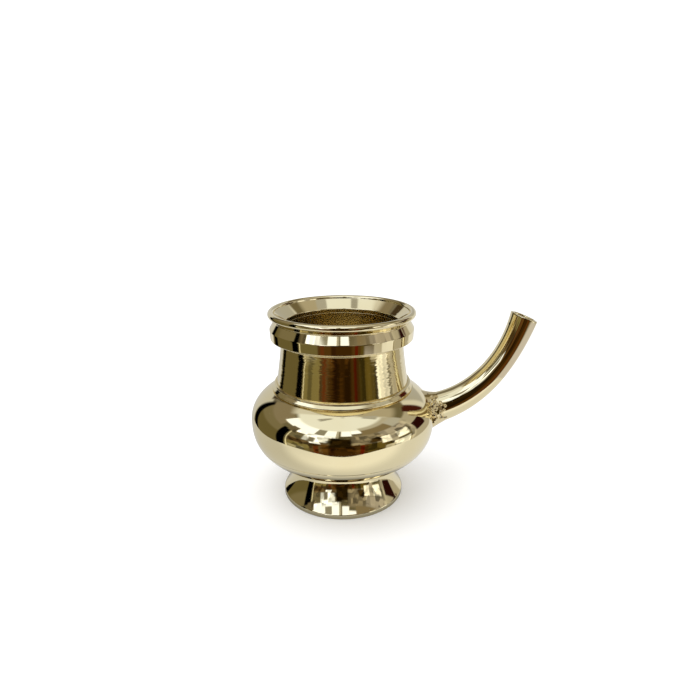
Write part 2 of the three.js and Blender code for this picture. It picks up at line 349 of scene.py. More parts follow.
class NodeSketch:
    """A short hand for adding and linking nodes in one tree."""

    def __init__(self, tree: bpy.types.NodeTree) -> None:
        """Works on the given tree."""
        self.tree = tree

    def put(self, socket: Socket, value: object) -> None:
        """Links a socket to another one, or sets its own value.

        Args:
            socket: The socket.
            value: Another socket, or the socket's new value.
        """
        if isinstance(value, Socket):
            self.tree.links.new(value, socket)
        else:
            socket.default_value = value

    def add(
        self, kind: str, inputs: dict[str | int, object] | None = None, **settings: object
    ) -> bpy.types.Node:
        """Adds a node.

        Args:
            kind: The node's type.
            inputs: A value, or a socket to link, for each input by name or place.
            **settings: The node's own settings.

        Returns:
            The node.
        """
        node = self.tree.nodes.new(kind)
        for name, value in settings.items():
            setattr(node, name, value)
        for name, value in (inputs or {}).items():
            self.put(node.inputs[name], value)
        return node

    def math(self, operation: str, *values: object) -> Socket:
        """Adds a math node and gives its result."""
        return self.add("ShaderNodeMath", dict(enumerate(values)), operation=operation).outputs[0]

    def plus(self, first: object, second: object) -> Socket:
        """Adds two values."""
        return self.math("ADD", first, second)

    def less(self, first: object, second: object) -> Socket:
        """Takes the second value from the first."""
        return self.math("SUBTRACT", first, second)

    def times(self, first: object, second: object) -> Socket:
        """Multiplies two values."""
        return self.math("MULTIPLY", first, second)

    def reach(self, across: object, along: object) -> Socket:
        """Gives how far two offsets at right angles lead."""
        return self.math("SQRT", self.plus(self.math("POWER", across, 2.0), self.math("POWER", along, 2.0)))

    def split(self, vector: object) -> bpy.types.bpy_prop_collection:
        """Gives a vector's parts by the names X, Y and Z."""
        return self.add("ShaderNodeSeparateXYZ", {"Vector": vector}).outputs

    def vector(self, x: object, y: object, z: object) -> Socket:
        """Joins three values into a vector."""
        return self.add("ShaderNodeCombineXYZ", {"X": x, "Y": y, "Z": z}).outputs[0]

    def ramp(self, value: object, span: Point, ends: Point = (0.0, 1.0)) -> Socket:
        """Eases from one level to another while a value crosses a span."""
        limits = {"From Min": span[0], "From Max": span[1], "To Min": ends[0], "To Max": ends[1]}
        node = self.add("ShaderNodeMapRange", {"Value": value, **limits}, interpolation_type="SMOOTHSTEP")
        return node.outputs[0]

    def cloud(self, place: object, scale: float, detail: float, **inputs: object) -> Socket:
        """Adds a noise pattern."""
        wanted = {"Vector": place, "Scale": scale, "Detail": detail, **inputs}
        return self.add("ShaderNodeTexNoise", wanted).outputs[0]

    def cells(self, place: object, scale: float) -> Socket:
        """Gives the distance to the nearest of many scattered points."""
        return self.add("ShaderNodeTexVoronoi", {"Vector": place, "Scale": scale}).outputs["Distance"]

    def raised(self, height: object, depth: float, facing: object) -> Socket:
        """Bumps a surface by a height that is measured in a depth, in metres."""
        wanted = {"Strength": 1.0, "Distance": depth, "Height": height, "Normal": facing}
        return self.add("ShaderNodeBump", wanted).outputs[0]

    def blend(self, share: object, under: object, over: object, kind: str = "MIX") -> Socket:
        """Blends two colours.

        Args:
            share: How much of the top colour shows.
            under: The colour underneath.
            over: The colour on top.
            kind: The blend's kind.

        Returns:
            The blended colour.
        """
        node = self.add("ShaderNodeMix", {"Factor": share}, data_type="RGBA", blend_type=kind)
        self.put(node.inputs[6], under)
        self.put(node.inputs[7], over)
        return node.outputs[2]


class GrowthTree:
    """A geometry node tree with named inputs, which grows a finished mesh from a bare one."""

    def __init__(self, name: str, start: str, kinds: dict[str, str]) -> None:
        """Opens the tree's sockets.

        Args:
            name: The tree's name.
            start: The name of the geometry that it starts from.
            kinds: The kind of each further input, by its name.
        """
        self.tree = bpy.data.node_groups.new(name, "GeometryNodeTree")
        face = self.tree.interface
        face.new_socket(start, in_out="INPUT", socket_type="NodeSocketGeometry")
        self.sockets = {
            key: face.new_socket(key, in_out="INPUT", socket_type="NodeSocket" + kind)
            for key, kind in kinds.items()
        }
        face.new_socket("Grown", in_out="OUTPUT", socket_type="NodeSocketGeometry")
        self.sketch = NodeSketch(self.tree)
        self.given = self.sketch.add("NodeGroupInput").outputs

    def close(self, geometry: Socket) -> None:
        """Makes instances real, sets the material and gives the geometry out.

        Args:
            geometry: The finished geometry, instances and all.
        """
        real = self.sketch.add("GeometryNodeRealizeInstances", {"Geometry": geometry}).outputs[0]
        finish = {"Geometry": real, "Material": self.given["Finish"]}
        dressed = self.sketch.add("GeometryNodeSetMaterial", finish).outputs[0]
        self.sketch.add("NodeGroupOutput", {"Grown": dressed})

    def grow(self, name: str, mesh: bpy.types.Mesh, values: dict[str, object]) -> bpy.types.Object:
        """Runs the tree on a mesh and keeps the result as a plain mesh.

        Args:
            name: The finished piece's name.
            mesh: The mesh that the tree starts from.
            values: The value of each named input.

        Returns:
            The finished piece.
        """
        seedling = linked(name + "_seedling", mesh)
        modifier = seedling.modifiers.new("grow", "NODES")
        modifier.node_group = self.tree
        for key, value in values.items():
            modifier[self.sockets[key].identifier] = value
        grown = settled(seedling, name)
        outward(grown.data)
        return grown


class LatheTree(GrowthTree):
    """Geometry nodes that turn an outline round the pot's axis.

    The outline arrives as loose points, one for each row, in the XZ plane. A faint unevenness of the
    radius is what hand polishing leaves.
    """

    facets = 192
    wobble_scale = 38.0

    def __init__(self, axis_x: float) -> None:
        """Builds the tree for an axis at the given x, in metres.

        Args:
            axis_x: Where the pot's axis stands, in metres.
        """
        kinds = {"Facets": "Int", "Wobble": "Float", "Seed": "Float", "Finish": "Material"}
        super().__init__("turned_on_a_lathe", "Outline", kinds)
        sketch, given = self.sketch, self.given
        counted = sketch.add("GeometryNodeAttributeDomainSize", {"Geometry": given["Outline"]})
        columns = sketch.plus(given["Facets"], 1)
        size = {"Vertices X": counted.outputs["Point Count"], "Vertices Y": columns}
        grid = sketch.add("GeometryNodeMeshGrid", size).outputs["Mesh"]
        index = sketch.add("GeometryNodeInputIndex").outputs[0]
        row = sketch.math("FLOOR", sketch.math("DIVIDE", index, columns))
        column = sketch.less(index, sketch.times(row, columns))
        angle = sketch.times(sketch.math("DIVIDE", column, given["Facets"]), math.tau)
        place = self._on_row(sketch.add("GeometryNodeInputPosition").outputs[0], row, "FLOAT_VECTOR")
        turned = sketch.add(
            "GeometryNodeSetPosition",
            {"Geometry": grid, "Position": self._turned(place, angle, axis_x)},
        )
        mark = sketch.add("GeometryNodeInputNamedAttribute", {"Name": INSIDE_ATTRIBUTE}, data_type="FLOAT")
        marked = sketch.add(
            "GeometryNodeStoreNamedAttribute",
            {
                "Geometry": turned.outputs[0],
                "Name": INSIDE_ATTRIBUTE,
                "Value": self._on_row(mark.outputs["Attribute"], row, "FLOAT"),
            },
            data_type="FLOAT",
            domain="POINT",
        ).outputs[0]
        joined = {"Geometry": marked, "Distance": SAME_PLACE}
        merged = sketch.add("GeometryNodeMergeByDistance", joined).outputs[0]
        self.close(sketch.add("GeometryNodeSetShadeSmooth", {"Geometry": merged}).outputs[0])

    def _on_row(self, value: object, row: object, kind: str) -> Socket:
        """Reads a value from the outline's point that a row comes from."""
        wanted = {"Geometry": self.given["Outline"], "Value": value, "Index": row}
        return self.sketch.add("GeometryNodeSampleIndex", wanted, data_type=kind).outputs["Value"]

    def _turned(self, place: object, angle: object, axis_x: float) -> Socket:
        """Swings a point of the outline round the axis and lets its radius stray a little.

        Args:
            place: The point, with its radius as x and its height as z.
            angle: How far it is swung.
            axis_x: Where the axis stands, in metres.

        Returns:
            Its place in the row frame.
        """
        sketch = self.sketch
        radius, height = (sketch.split(place)[name] for name in ("X", "Z"))
        cosine, sine = sketch.math("COSINE", angle), sketch.math("SINE", angle)
        even = sketch.vector(sketch.times(cosine, radius), sketch.times(sine, radius), height)
        swell = sketch.add(
            "ShaderNodeTexNoise",
            {"Vector": even, "W": self.given["Seed"], "Scale": self.wobble_scale, "Detail": 1.0},
            noise_dimensions="4D",
        ).outputs[0]
        stray = sketch.times(sketch.less(swell, 0.5), self.given["Wobble"])
        off_axis = sketch.less(1.0, sketch.math("LESS_THAN", radius, SAME_PLACE))
        grown = sketch.plus(radius, sketch.times(stray, off_axis))
        across = sketch.plus(sketch.times(cosine, grown), axis_x)
        return sketch.vector(across, sketch.times(sine, grown), height)

    def turn(
        self, name: str, outline: Outline, finish: bpy.types.Material, wobble: float, seed: float
    ) -> bpy.types.Object:
        """Turns a piece.

        Args:
            name: The piece's name.
            outline: Its cut edge.
            finish: Its material.
            wobble: How far its radius strays, in millimetres.
            seed: The seed of that unevenness.

        Returns:
            The piece, as a plain mesh in the row frame.
        """
        rows = outline.rows()
        mesh = bpy.data.meshes.new(name + "_outline")
        mesh.from_pydata([(row.radius * MM, 0.0, row.height * MM) for row in rows], [], [])
        mark_points(mesh, INSIDE_ATTRIBUTE, [row.side.value for row in rows])
        values = {"Facets": self.facets, "Wobble": wobble * MM, "Seed": seed, "Finish": finish}
        return self.grow(name, mesh, values)


def mark_points(mesh: bpy.types.Mesh, name: str, values: list[float]) -> None:
    """Stores a number on every point of a mesh."""
    mesh.attributes.new(name, "FLOAT", "POINT").data.foreach_set("value", values)


def settled(source: bpy.types.Object, name: str) -> bpy.types.Object:
    """Turns an object with modifiers into a plain mesh object and removes the original.

    Args:
        source: The object with its modifiers.
        name: The new object's name.

    Returns:
        The plain object.
    """
    ready = source.evaluated_get(bpy.context.evaluated_depsgraph_get())
    mesh = bpy.data.meshes.new_from_object(ready)
    mesh.name = name
    bpy.data.objects.remove(source)
    return linked(name, mesh)


def linked(name: str, mesh: bpy.types.Mesh) -> bpy.types.Object:
    """Puts a mesh into the scene as an object at the origin."""
    made = bpy.data.objects.new(name, mesh)
    bpy.context.scene.collection.objects.link(made)
    return made


def outward(mesh: bpy.types.Mesh) -> None:
    """Turns every face outwards, once doubled points are merged, and shades it smooth.

    Args:
        mesh: The mesh.
    """
    work = bmesh.new()
    work.from_mesh(mesh)
    bmesh.ops.remove_doubles(work, verts=work.verts, dist=SAME_PLACE)
    bmesh.ops.recalc_face_normals(work, faces=work.faces)
    for face in work.faces:
        face.smooth = True
    work.to_mesh(mesh)
    work.free()


def wound(rows: int, around: int, closed: bool) -> list[tuple[int, ...]]:
    """Joins rings of points with four-sided faces.

    Args:
        rows: How many rings there are.
        around: How many points each ring has.
        closed: Whether the last ring meets the first.

    Returns:
        The faces, with the points numbered ring by ring.
    """
    faces = []
    for row in range(rows if closed else rows - 1):
        low, high = row * around, (row + 1) % rows * around
        for column in range(around):
            beside = (column + 1) % around
            faces.append((low + column, low + beside, high + beside, high + column))
    return faces


def skinned(name: str, rings: Sequence[Ring], inside_from: int) -> bpy.types.Mesh:
    """Skins a closed chain of rings.

    Args:
        name: The mesh's name.
        rings: Rings of equally many points, in metres; the last one meets the first.
        inside_from: The number of the first ring that lies inside the bore.

    Returns:
        The closed mesh.
    """
    around = len(rings[0])
    mesh = bpy.data.meshes.new(name)
    mesh.from_pydata([place for ring in rings for place in ring], [], wound(len(rings), around, closed=True))
    marks = [float(row >= inside_from) for row in range(len(rings)) for _ in range(around)]
    mark_points(mesh, INSIDE_ATTRIBUTE, marks)
    outward(mesh)
    return mesh


def crossing(holds: Callable[[float], bool], near: float, far: float) -> float:
    """Finds where a line leaves a region, by halving the stretch that it leaves it in.

    Args:
        holds: Tells whether the region holds the line's point at a length.
        near: A length that the region holds.
        far: A length past the region.

    Returns:
        The length at which the line leaves.
    """
    for _ in range(BISECTIONS):
        middle = (near + far) / 2
        if holds(middle):
            near = middle
        else:
            far = middle
    return near


# ---------------------------------------------------------------------------------------------
# Finishes
# ---------------------------------------------------------------------------------------------


@dataclass(frozen=True)
class BrassFinish:
    """A brass surface: its colour, its gloss and the marks that tools have left on it."""

    name: str
    slot: str
    colour: Colour
    deep_colour: Colour
    gloss: float
    smudge: float
    line_pitch: float
    line_depth: float
    grain_depth: float
    pit_depth: float
    chatter: float = 0.0
    # Strength of the dark spots beside the spout: burnt flux and painted crevice shade.
    flux_and_shade: float = 0.0
    inside_gloss: float = 0.17
    inside_line_depth: float = 0.006

    cloud_scale: ClassVar[float] = 55.0
    cloud_cut: ClassVar[float] = 0.42
    cloud_gain: ClassVar[float] = 0.9
    inside_tint: ClassVar[float] = 0.55
    tool_drift: ClassVar[float] = 0.0006
    tool_lean: ClassVar[float] = 0.35
    smear_scale: ClassVar[float] = 120.0
    ring_scale: ClassVar[float] = 900.0
    smear_share: ClassVar[float] = 0.7
    grain_scale: ClassVar[float] = 1600.0
    pit_scale: ClassVar[float] = 95.0
    pit_rim: ClassVar[Point] = (0.03, 0.075)
    swing_scale: ClassVar[float] = 60.0
    chatter_patch_scale: ClassVar[float] = 45.0
    chatter_patch: ClassVar[Point] = (0.42, 0.62)
    calm_share: ClassVar[float] = 0.15
    # Dark spots beside the spout: burnt flux and painted shade of the filler's crevices.
    flux_and_shade_colour: ClassVar[Colour] = (0.05, 0.025, 0.012)
    flux_and_shade_scale: ClassVar[float] = 430.0
    flux_and_shade_ragged_scale: ClassVar[float] = 900.0
    flux_and_shade_spot: ClassVar[Point] = (0.56, 0.36)
    flux_and_shade_start: ClassVar[Point] = (0.017, 0.019)

    def material(self, axis_x: float) -> bpy.types.Material:
        """Builds the finish as a node material.

        Args:
            axis_x: Where the pot's axis stands, in metres.

        Returns:
            The material.
        """
        made = bpy.data.materials.new(self.name)
        made.use_nodes = True
        made.node_tree.nodes.clear()
        sketch = NodeSketch(made.node_tree)
        place = sketch.add("ShaderNodeTexCoord").outputs["Object"]
        around = self._around(sketch, place, axis_x)
        inside = sketch.add("ShaderNodeAttribute", attribute_name=INSIDE_ATTRIBUTE).outputs["Fac"]
        shader = sketch.add(
            "ShaderNodeBsdfPrincipled",
            {
                "Base Color": self._tint(sketch, place, inside),
                "Metallic": 1.0,
                "Roughness": self._roughness(sketch, place, around, inside),
                "Normal": self._relief(sketch, place, around, inside),
            },
        )
        sketch.add("ShaderNodeOutputMaterial", {"Surface": shader.outputs[0]})
        return made

    def _around(self, sketch: NodeSketch, place: object, axis_x: float) -> Socket:
        """Gives coordinates that run slowly round the pot and quickly up it, as a tool's marks do.

        Args:
            sketch: The tree that the nodes go into.
            place: The place on the piece.
            axis_x: Where the pot's axis stands, in metres.

        Returns:
            The coordinates.
        """
        split = sketch.split(place)
        from_axis = sketch.less(split["X"], axis_x)
        turn = sketch.math("ARCTAN2", split["Y"], from_axis)
        radius = sketch.reach(from_axis, split["Y"])
        return sketch.vector(
            sketch.times(sketch.math("SINE", turn), self.tool_drift),
            sketch.times(sketch.math("COSINE", turn), self.tool_drift),
            sketch.plus(split["Z"], sketch.times(radius, self.tool_lean)),
        )

    def _tint(self, sketch: NodeSketch, place: object, inside: object) -> Socket:
        """Mixes the bright colour with the deeper one in soft patches and inside the pot, and lays the dark
        spots of burnt flux and painted crevice shade where the finish has them.

        Args:
            sketch: The tree that the nodes go into.
            place: The place on the piece.
            inside: 1 inside the pot and 0 outside it.

        Returns:
            The colour.
        """
        cloud = sketch.cloud(place, self.cloud_scale, 3.0)
        patch = sketch.times(sketch.less(cloud, self.cloud_cut), self.cloud_gain)
        share = sketch.plus(sketch.math("MAXIMUM", patch, 0.0), sketch.times(inside, self.inside_tint))
        share = sketch.math("MINIMUM", share, 1.0)
        clean = sketch.blend(share, (*self.colour, 1.0), (*self.deep_colour, 1.0))
        return self._flux_and_shade_spotted(sketch, place, clean) if self.flux_and_shade else clean

    def _flux_and_shade_spotted(self, sketch: NodeSketch, place: object, clean: object) -> Socket:
        """Paints small uneven dark spots beside the spout: partly burnt flux, partly painted shade that
        stands in for the filler's shaded pits and crevices.

        Args:
            sketch: The tree that the nodes go into.
            place: The place on the piece.
            clean: The brass's own colour.

        Returns:
            The colour with its spots of flux and painted shade.
        """
        drift = sketch.cloud(place, self.flux_and_shade_ragged_scale, 2.0)
        ragged = sketch.plus(sketch.cells(place, self.flux_and_shade_scale), sketch.times(drift, 0.5))
        spots = sketch.ramp(ragged, self.flux_and_shade_spot, (0.0, self.flux_and_shade))
        share = sketch.times(spots, sketch.ramp(sketch.split(place)["X"], self.flux_and_shade_start))
        return sketch.blend(share, clean, (*self.flux_and_shade_colour, 1.0))

    def _roughness(self, sketch: NodeSketch, place: object, around: object, inside: object) -> Socket:
        """Adds smudges and faint rings to the gloss.

        Args:
            sketch: The tree that the nodes go into.
            place: The place on the piece.
            around: Coordinates that follow the tool's marks.
            inside: 1 inside the pot and 0 outside it.

        Returns:
            The roughness.
        """
        smear = sketch.times(sketch.cloud(place, self.smear_scale, 4.0), self.smear_share)
        rings = sketch.times(sketch.cloud(around, self.ring_scale, 2.0), 1 - self.smear_share)
        outside = sketch.plus(sketch.times(sketch.plus(smear, rings), self.smudge), self.gloss)
        return sketch.plus(outside, sketch.times(inside, self.inside_gloss - self.gloss))

    def _relief(self, sketch: NodeSketch, place: object, around: object, inside: object) -> Socket:
        """Adds turning lines, fine grain and sparse pits as relief of true depth.

        Args:
            sketch: The tree that the nodes go into.
            place: The place on the piece.
            around: Coordinates that follow the tool's marks.
            inside: 1 inside the pot and 0 outside it.

        Returns:
            The surface's direction.
        """
        lines = sketch.cloud(around, 1.0 / (self.line_pitch * MM), 2.0, Roughness=0.6)
        depth = sketch.plus(sketch.times(inside, self.inside_line_depth - self.line_depth), self.line_depth)
        turned = sketch.raised(sketch.times(lines, depth), MM, self._chattered(sketch, place))
        grained = sketch.raised(sketch.cloud(place, self.grain_scale, 2.0), self.grain_depth * MM, turned)
        pits = sketch.ramp(sketch.cells(place, self.pit_scale), self.pit_rim)
        return sketch.raised(pits, self.pit_depth * MM, grained)

    def _chattered(self, sketch: NodeSketch, place: object) -> Socket:
        """Swings the surface a little to either side, line by line, as a chattering tool leaves it.

        Args:
            sketch: The tree that the nodes go into.
            place: The place on the piece.

        Returns:
            The surface's direction.
        """
        split = sketch.split(place)
        squeezed = sketch.vector(
            sketch.times(split["X"], self.swing_scale),
            sketch.times(split["Y"], self.swing_scale),
            sketch.math("DIVIDE", split["Z"], self.line_pitch * MM),
        )
        swing = sketch.less(sketch.cloud(squeezed, 1.0, 2.0), 0.5)
        patches = sketch.cloud(place, self.chatter_patch_scale, 1.0)
        strength = sketch.ramp(patches, self.chatter_patch, (self.calm_share * self.chatter, self.chatter))
        facing = sketch.add("ShaderNodeNewGeometry").outputs["Normal"]
        wanted = {"Vector": facing, "Angle": sketch.times(swing, strength)}
        return sketch.add("ShaderNodeVectorRotate", wanted, rotation_type="Z_AXIS").outputs[0]


POLISHED = BrassFinish(
    name="polished_brass",
    slot="polished_brass",
    colour=(0.88, 0.775, 0.49),
    deep_colour=(0.83, 0.69, 0.38),
    gloss=0.022,
    smudge=0.05,
    line_pitch=0.9,
    line_depth=0.0004,
    grain_depth=0.0002,
    pit_depth=0.03,
)
TURNED = BrassFinish(
    name="turned_brass",
    slot="turned_brass",
    colour=(0.86, 0.75, 0.46),
    deep_colour=(0.80, 0.66, 0.36),
    gloss=0.045,
    smudge=0.06,
    line_pitch=0.5,
    line_depth=0.003,
    grain_depth=0.0003,
    pit_depth=0.02,
    chatter=0.24,
)
FILLER = BrassFinish(
    name="braze_filler",
    slot="braze_filler",
    colour=(0.84, 0.71, 0.42),
    deep_colour=(0.62, 0.46, 0.22),
    gloss=0.035,
    smudge=0.06,
    line_pitch=0.7,
    line_depth=0.002,
    grain_depth=0.002,
    pit_depth=0.06,
    # Dark spots of burnt flux and painted crevice shade beside the spout.
    flux_and_shade=0.8,
)


# ---------------------------------------------------------------------------------------------
# The pot's sub-assemblies
# ---------------------------------------------------------------------------------------------


@dataclass(frozen=True)
class Workshop:
    """What every maker of pieces needs: shared sizes, the belly's skin, the lathe and the finishes."""

    sizes: PotFrame
    skin: BellySkin
    lathe: LatheTree
    finishes: dict[str, bpy.types.Material]

    def turn(
        self, name: str, node: str, outline: Outline, finish: BrassFinish, wobble: float, seed: float
    ) -> bpy.types.Object:
        """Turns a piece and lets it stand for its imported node.

        Args:
            name: The piece's name.
            node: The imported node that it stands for.
            outline: Its cut edge.
            finish: Its finish.
            wobble: How far its radius strays, in millimetres.
            seed: The seed of that unevenness.

        Returns:
            The piece.
        """
        piece = self.lathe.turn(name, outline, self.finishes[finish.name], wobble, seed)
        return self.hand_over(piece, node, finish)

    def hand_over(self, piece: bpy.types.Object, node: str, finish: BrassFinish) -> bpy.types.Object:
        """Rides a piece on the pot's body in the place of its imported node, and reports it.

        Args:
            piece: The finished piece.
            node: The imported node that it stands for.
            finish: Its finish.

        Returns:
            The same piece.
        """
        piece.data.materials.clear()
        piece.data.materials.append(self.finishes[finish.name])
        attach(piece, BODY)
        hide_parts(node)
        LOG.info("%s: %d faces, stands for %s", piece.name, len(piece.data.polygons), node)
        return piece

    def seat(self, place: Vector) -> Vector:
        """Moves a place from the pot's own axis, in millimetres, into the row frame, in metres."""
        return Vector((place.x + self.sizes.axis_x, place.y, place.z)) * MM


@dataclass(frozen=True)
class Foot:
    """The hollow pedestal and the filler between it and the bowl."""

    band_height: float = 2.2
    rim_width: float = 3.6
    wall: float = 2.6
    waist_radius: float = 24.0
    flare_power: float = 2.0
    edge_rounding: float = 0.45
    fillet_size: float = 1.8
    fillet_bite: float = 0.3
    fillet_swell: float = 0.12
    fillet_root: Point = (0.6, 0.5)
    fillet_back: Point = (0.8, 0.4)
    fillet_steps: int = 8
    steps: int = 26

    def top(self, skin: BellySkin) -> float:
        """Gives the height at which the pedestal meets the bowl."""
        return skin.point(skin.angle_at_radius(self.waist_radius, -1))[1]

    def flare_radius(self, skin: BellySkin, rim: float, height: float) -> float:
        """Gives the pedestal's outer radius at a height."""
        top = self.top(skin)
        left = (top - height) / (top - self.band_height)
        return self.waist_radius + (rim - self.waist_radius) * left**self.flare_power

    def flare(self, skin: BellySkin, rim: float, inset: float) -> list[Point]:
        """Follows the flare from the band up to just under the bowl."""
        climb = self.top(skin) - self.band_height
        heights = [self.band_height + climb * step / self.steps for step in range(self.steps)]
        return [(self.flare_radius(skin, rim, height) - inset, height) for height in heights]

    def build(self, shop: Workshop) -> None:
        """Makes the pedestal and its fillet.

        Args:
            shop: The shared sizes, the lathe and the finishes.
        """
        skin, rim = shop.skin, shop.sizes.foot_radius
        outer = skin.angle_at_radius(self.waist_radius, -1)
        inner = skin.angle_at_radius(self.waist_radius - self.wall, -1)
        flare = self.flare(skin, rim, 0.0)
        hollow = self.flare(skin, rim, self.wall)[2:][::-1]
        outline = Outline()
        outline.add([(rim, 0.0)], rounding=self.edge_rounding)
        outline.add(flare[:1], rounding=self.edge_rounding)
        outline.add(flare[1:] + [skin.point(outer)])
        outline.add([skin.point(inner), *hollow], Side.INSIDE)
        outline.add([(rim - self.rim_width, 0.0)], Side.INSIDE, self.edge_rounding)
        shop.turn("foot_pedestal", "foot", outline, POLISHED, wobble=0.03, seed=1.0)
        self.build_fillet(shop, outer)

    def build_fillet(self, shop: Workshop, waist: float) -> None:
        """Makes the filler in the corner under the bowl.

        Args:
            shop: The shared sizes, the lathe and the finishes.
            waist: The skin's angle at the pedestal's waist.
        """
        skin, rim = shop.skin, shop.sizes.foot_radius
        corner = skin.point(waist, inset=self.fillet_bite)
        low = corner[1] - self.fillet_size
        foot_side = (self.flare_radius(skin, rim, low), low)
        bowl_side = skin.point(skin.angle_at_radius(self.waist_radius + self.fillet_size, -1))
        hollow = []
        swell = Vector((self.fillet_swell, -self.fillet_swell))
        for step in range(self.fillet_steps + 1):
            share = step / self.fillet_steps
            start = Vector(foot_side).lerp(Vector(corner), share)
            end = Vector(corner).lerp(Vector(bowl_side), share)
            hollow.append(tuple(start.lerp(end, share) + swell))
        outline = Outline()
        outline.add(hollow)
        root = (bowl_side[0] - self.fillet_root[0], bowl_side[1] + self.fillet_root[1])
        back = (corner[0] - self.fillet_back[0], corner[1] - self.fillet_back[1])
        outline.add([root, back], Side.INSIDE)
        shop.turn("foot_fillet", "foot_braze", outline, FILLER, wobble=0.16, seed=2.0)


@dataclass(frozen=True)
class Belly:
    """The two shells of the belly and the filler bead inside their joint."""

    wall: float = 2.2
    lap_height: float = 3.0
    lap_clearance: float = 0.1
    neck_seat_radius: float = 36.1
    neck_seat_root: float = 37.7
    neck_seat_thickness: float = 2.4
    neck_bore: float = 31.2
    bead_radius: float = 0.8
    bead_steps: int = 24
    wobble: float = 0.06
    steps: int = 72

    def build(self, shop: Workshop, spout: Spout) -> None:
        """Makes the bowl, the shoulder with the spout's bore, and the bead.

        Args:
            shop: The shared sizes, the lathe and the finishes.
            spout: The spout's sizes.
        """
        skin, seam = shop.skin, shop.skin.angle_at_height(shop.sizes.seam_height)
        lap = skin.angle_at_height(shop.sizes.seam_height + self.lap_height)
        self.build_bowl(shop, seam, lap)
        self.build_shoulder(shop, spout, seam, lap)
        centre = skin.point(lap, self.wall)
        bead = Outline()
        bead.add(circle_arc(centre, self.bead_radius, 90, 450, self.bead_steps)[:-1], Side.INSIDE)
        shop.turn("belly_seam_bead", "belly_braze", bead, FILLER, wobble=0.25, seed=5.0)

    def build_bowl(self, shop: Workshop, seam: float, lap: float) -> None:
        """Makes the dish-shaped bottom with the tongue of its lap joint.

        Args:
            shop: The shared sizes, the lathe and the finishes.
            seam: The skin's angle at the belly's seam.
            lap: The skin's angle at the top of the lap joint.
        """
        skin, quarter = shop.skin, math.pi / 2
        tongue = self.wall / 2 + self.lap_clearance
        outline = Outline(closed=False)
        outline.add([(0.0, shop.sizes.bowl_bottom)])
        outline.add(skin.arc(-quarter, seam, self.steps)[1:])
        outline.add([skin.point(seam, tongue), skin.point(lap, tongue)], Side.INSIDE)
        outline.add(skin.arc(lap, -quarter, self.steps, self.wall)[:-1], Side.INSIDE)
        outline.add([(0.0, shop.sizes.bowl_bottom + self.wall)], Side.INSIDE)
        shop.turn("lower_bowl_shell", "lower_bowl", outline, POLISHED, wobble=self.wobble, seed=3.0)

    def build_shoulder(self, shop: Workshop, spout: Spout, seam: float, lap: float) -> None:
        """Makes the upper shell, up to the seat of the neck, and bores it for the spout.

        Args:
            shop: The shared sizes, the lathe and the finishes.
            spout: The spout's sizes.
            seam: The skin's angle at the belly's seam.
            lap: The skin's angle at the top of the lap joint.
        """
        skin, seat = shop.skin, shop.sizes.ring_seat
        ledge = lap + self.lap_clearance / skin.radius
        root = skin.angle_at_radius(self.neck_seat_root, 1)
        outline = Outline()
        outline.add(skin.arc(seam, skin.angle_at_radius(self.neck_seat_radius, 1), self.steps))
        outline.add([(self.neck_bore, seat), (self.neck_bore, seat - self.neck_seat_thickness)], Side.INSIDE)
        outline.add(skin.arc(root, ledge, self.steps, self.wall), Side.INSIDE)
        outline.add([skin.point(ledge, self.wall / 2), skin.point(seam, self.wall / 2)], Side.INSIDE)
        finish = shop.finishes[POLISHED.name]
        turned = shop.lathe.turn("shoulder_blank", outline, finish, wobble=self.wobble, seed=4.0)
        shop.hand_over(bored(turned, spout.drill(shop), "shoulder_shell"), "shoulder", POLISHED)


def bored(blank: bpy.types.Object, drill: bpy.types.Object, name: str) -> bpy.types.Object:
    """Cuts one closed object out of another.

    Args:
        blank: The object that is cut.
        drill: The shape that is taken away.
        name: The finished object's name.

    Returns:
        The bored object.
    """
    cut = blank.modifiers.new("bore", "BOOLEAN")
    cut.operation = "DIFFERENCE"
    cut.solver = "EXACT"
    cut.object = drill
    finished = settled(blank, name)
    bpy.data.objects.remove(drill)
    return finished


@dataclass(frozen=True)
class NeckBand:
    """The narrow band at the base of the neck: a groove, a bead, a sloping face and a second bead."""

    groove_radius: float = 35.3
    groove_height: float = 0.4
    low_bead_radius: float = 35.9
    low_bead_height: float = 1.0
    top_bead_radius: float = 35.0
    top_bead_height: float = 0.7
    bevel: float = 0.25
    face_top_radius: float = 34.4
    bore: float = 32.7
    rounding: float = 0.16
    groove_rounding: float = 0.1
    overlap: float = 0.1

    def build(self, shop: Workshop) -> None:
        """Makes the band.

        Args:
            shop: The shared sizes, the lathe and the finishes.
        """
        seat, step = shop.sizes.ring_seat, shop.sizes.neck_step
        low, top = seat + self.groove_height, step - self.top_bead_height
        outline = Outline()
        outline.add([(self.groove_radius, seat - self.overlap)])
        outline.add([(self.groove_radius, low)], rounding=self.groove_rounding)
        outline.add(
            [
                (self.low_bead_radius, low + self.bevel),
                (self.low_bead_radius, low + self.low_bead_height - self.bevel),
                (self.low_bead_radius - self.bevel, low + self.low_bead_height),
                (self.face_top_radius, top - self.bevel),
                (self.top_bead_radius, top),
                (self.top_bead_radius, step - self.bevel),
                (self.face_top_radius, step),
            ],
            rounding=self.rounding,
        )
        outline.add([(self.bore, step), (self.bore, seat - self.overlap)], Side.INSIDE)
        shop.turn("neck_band", "neck_base_ring", outline, TURNED, wobble=0.02, seed=6.0)


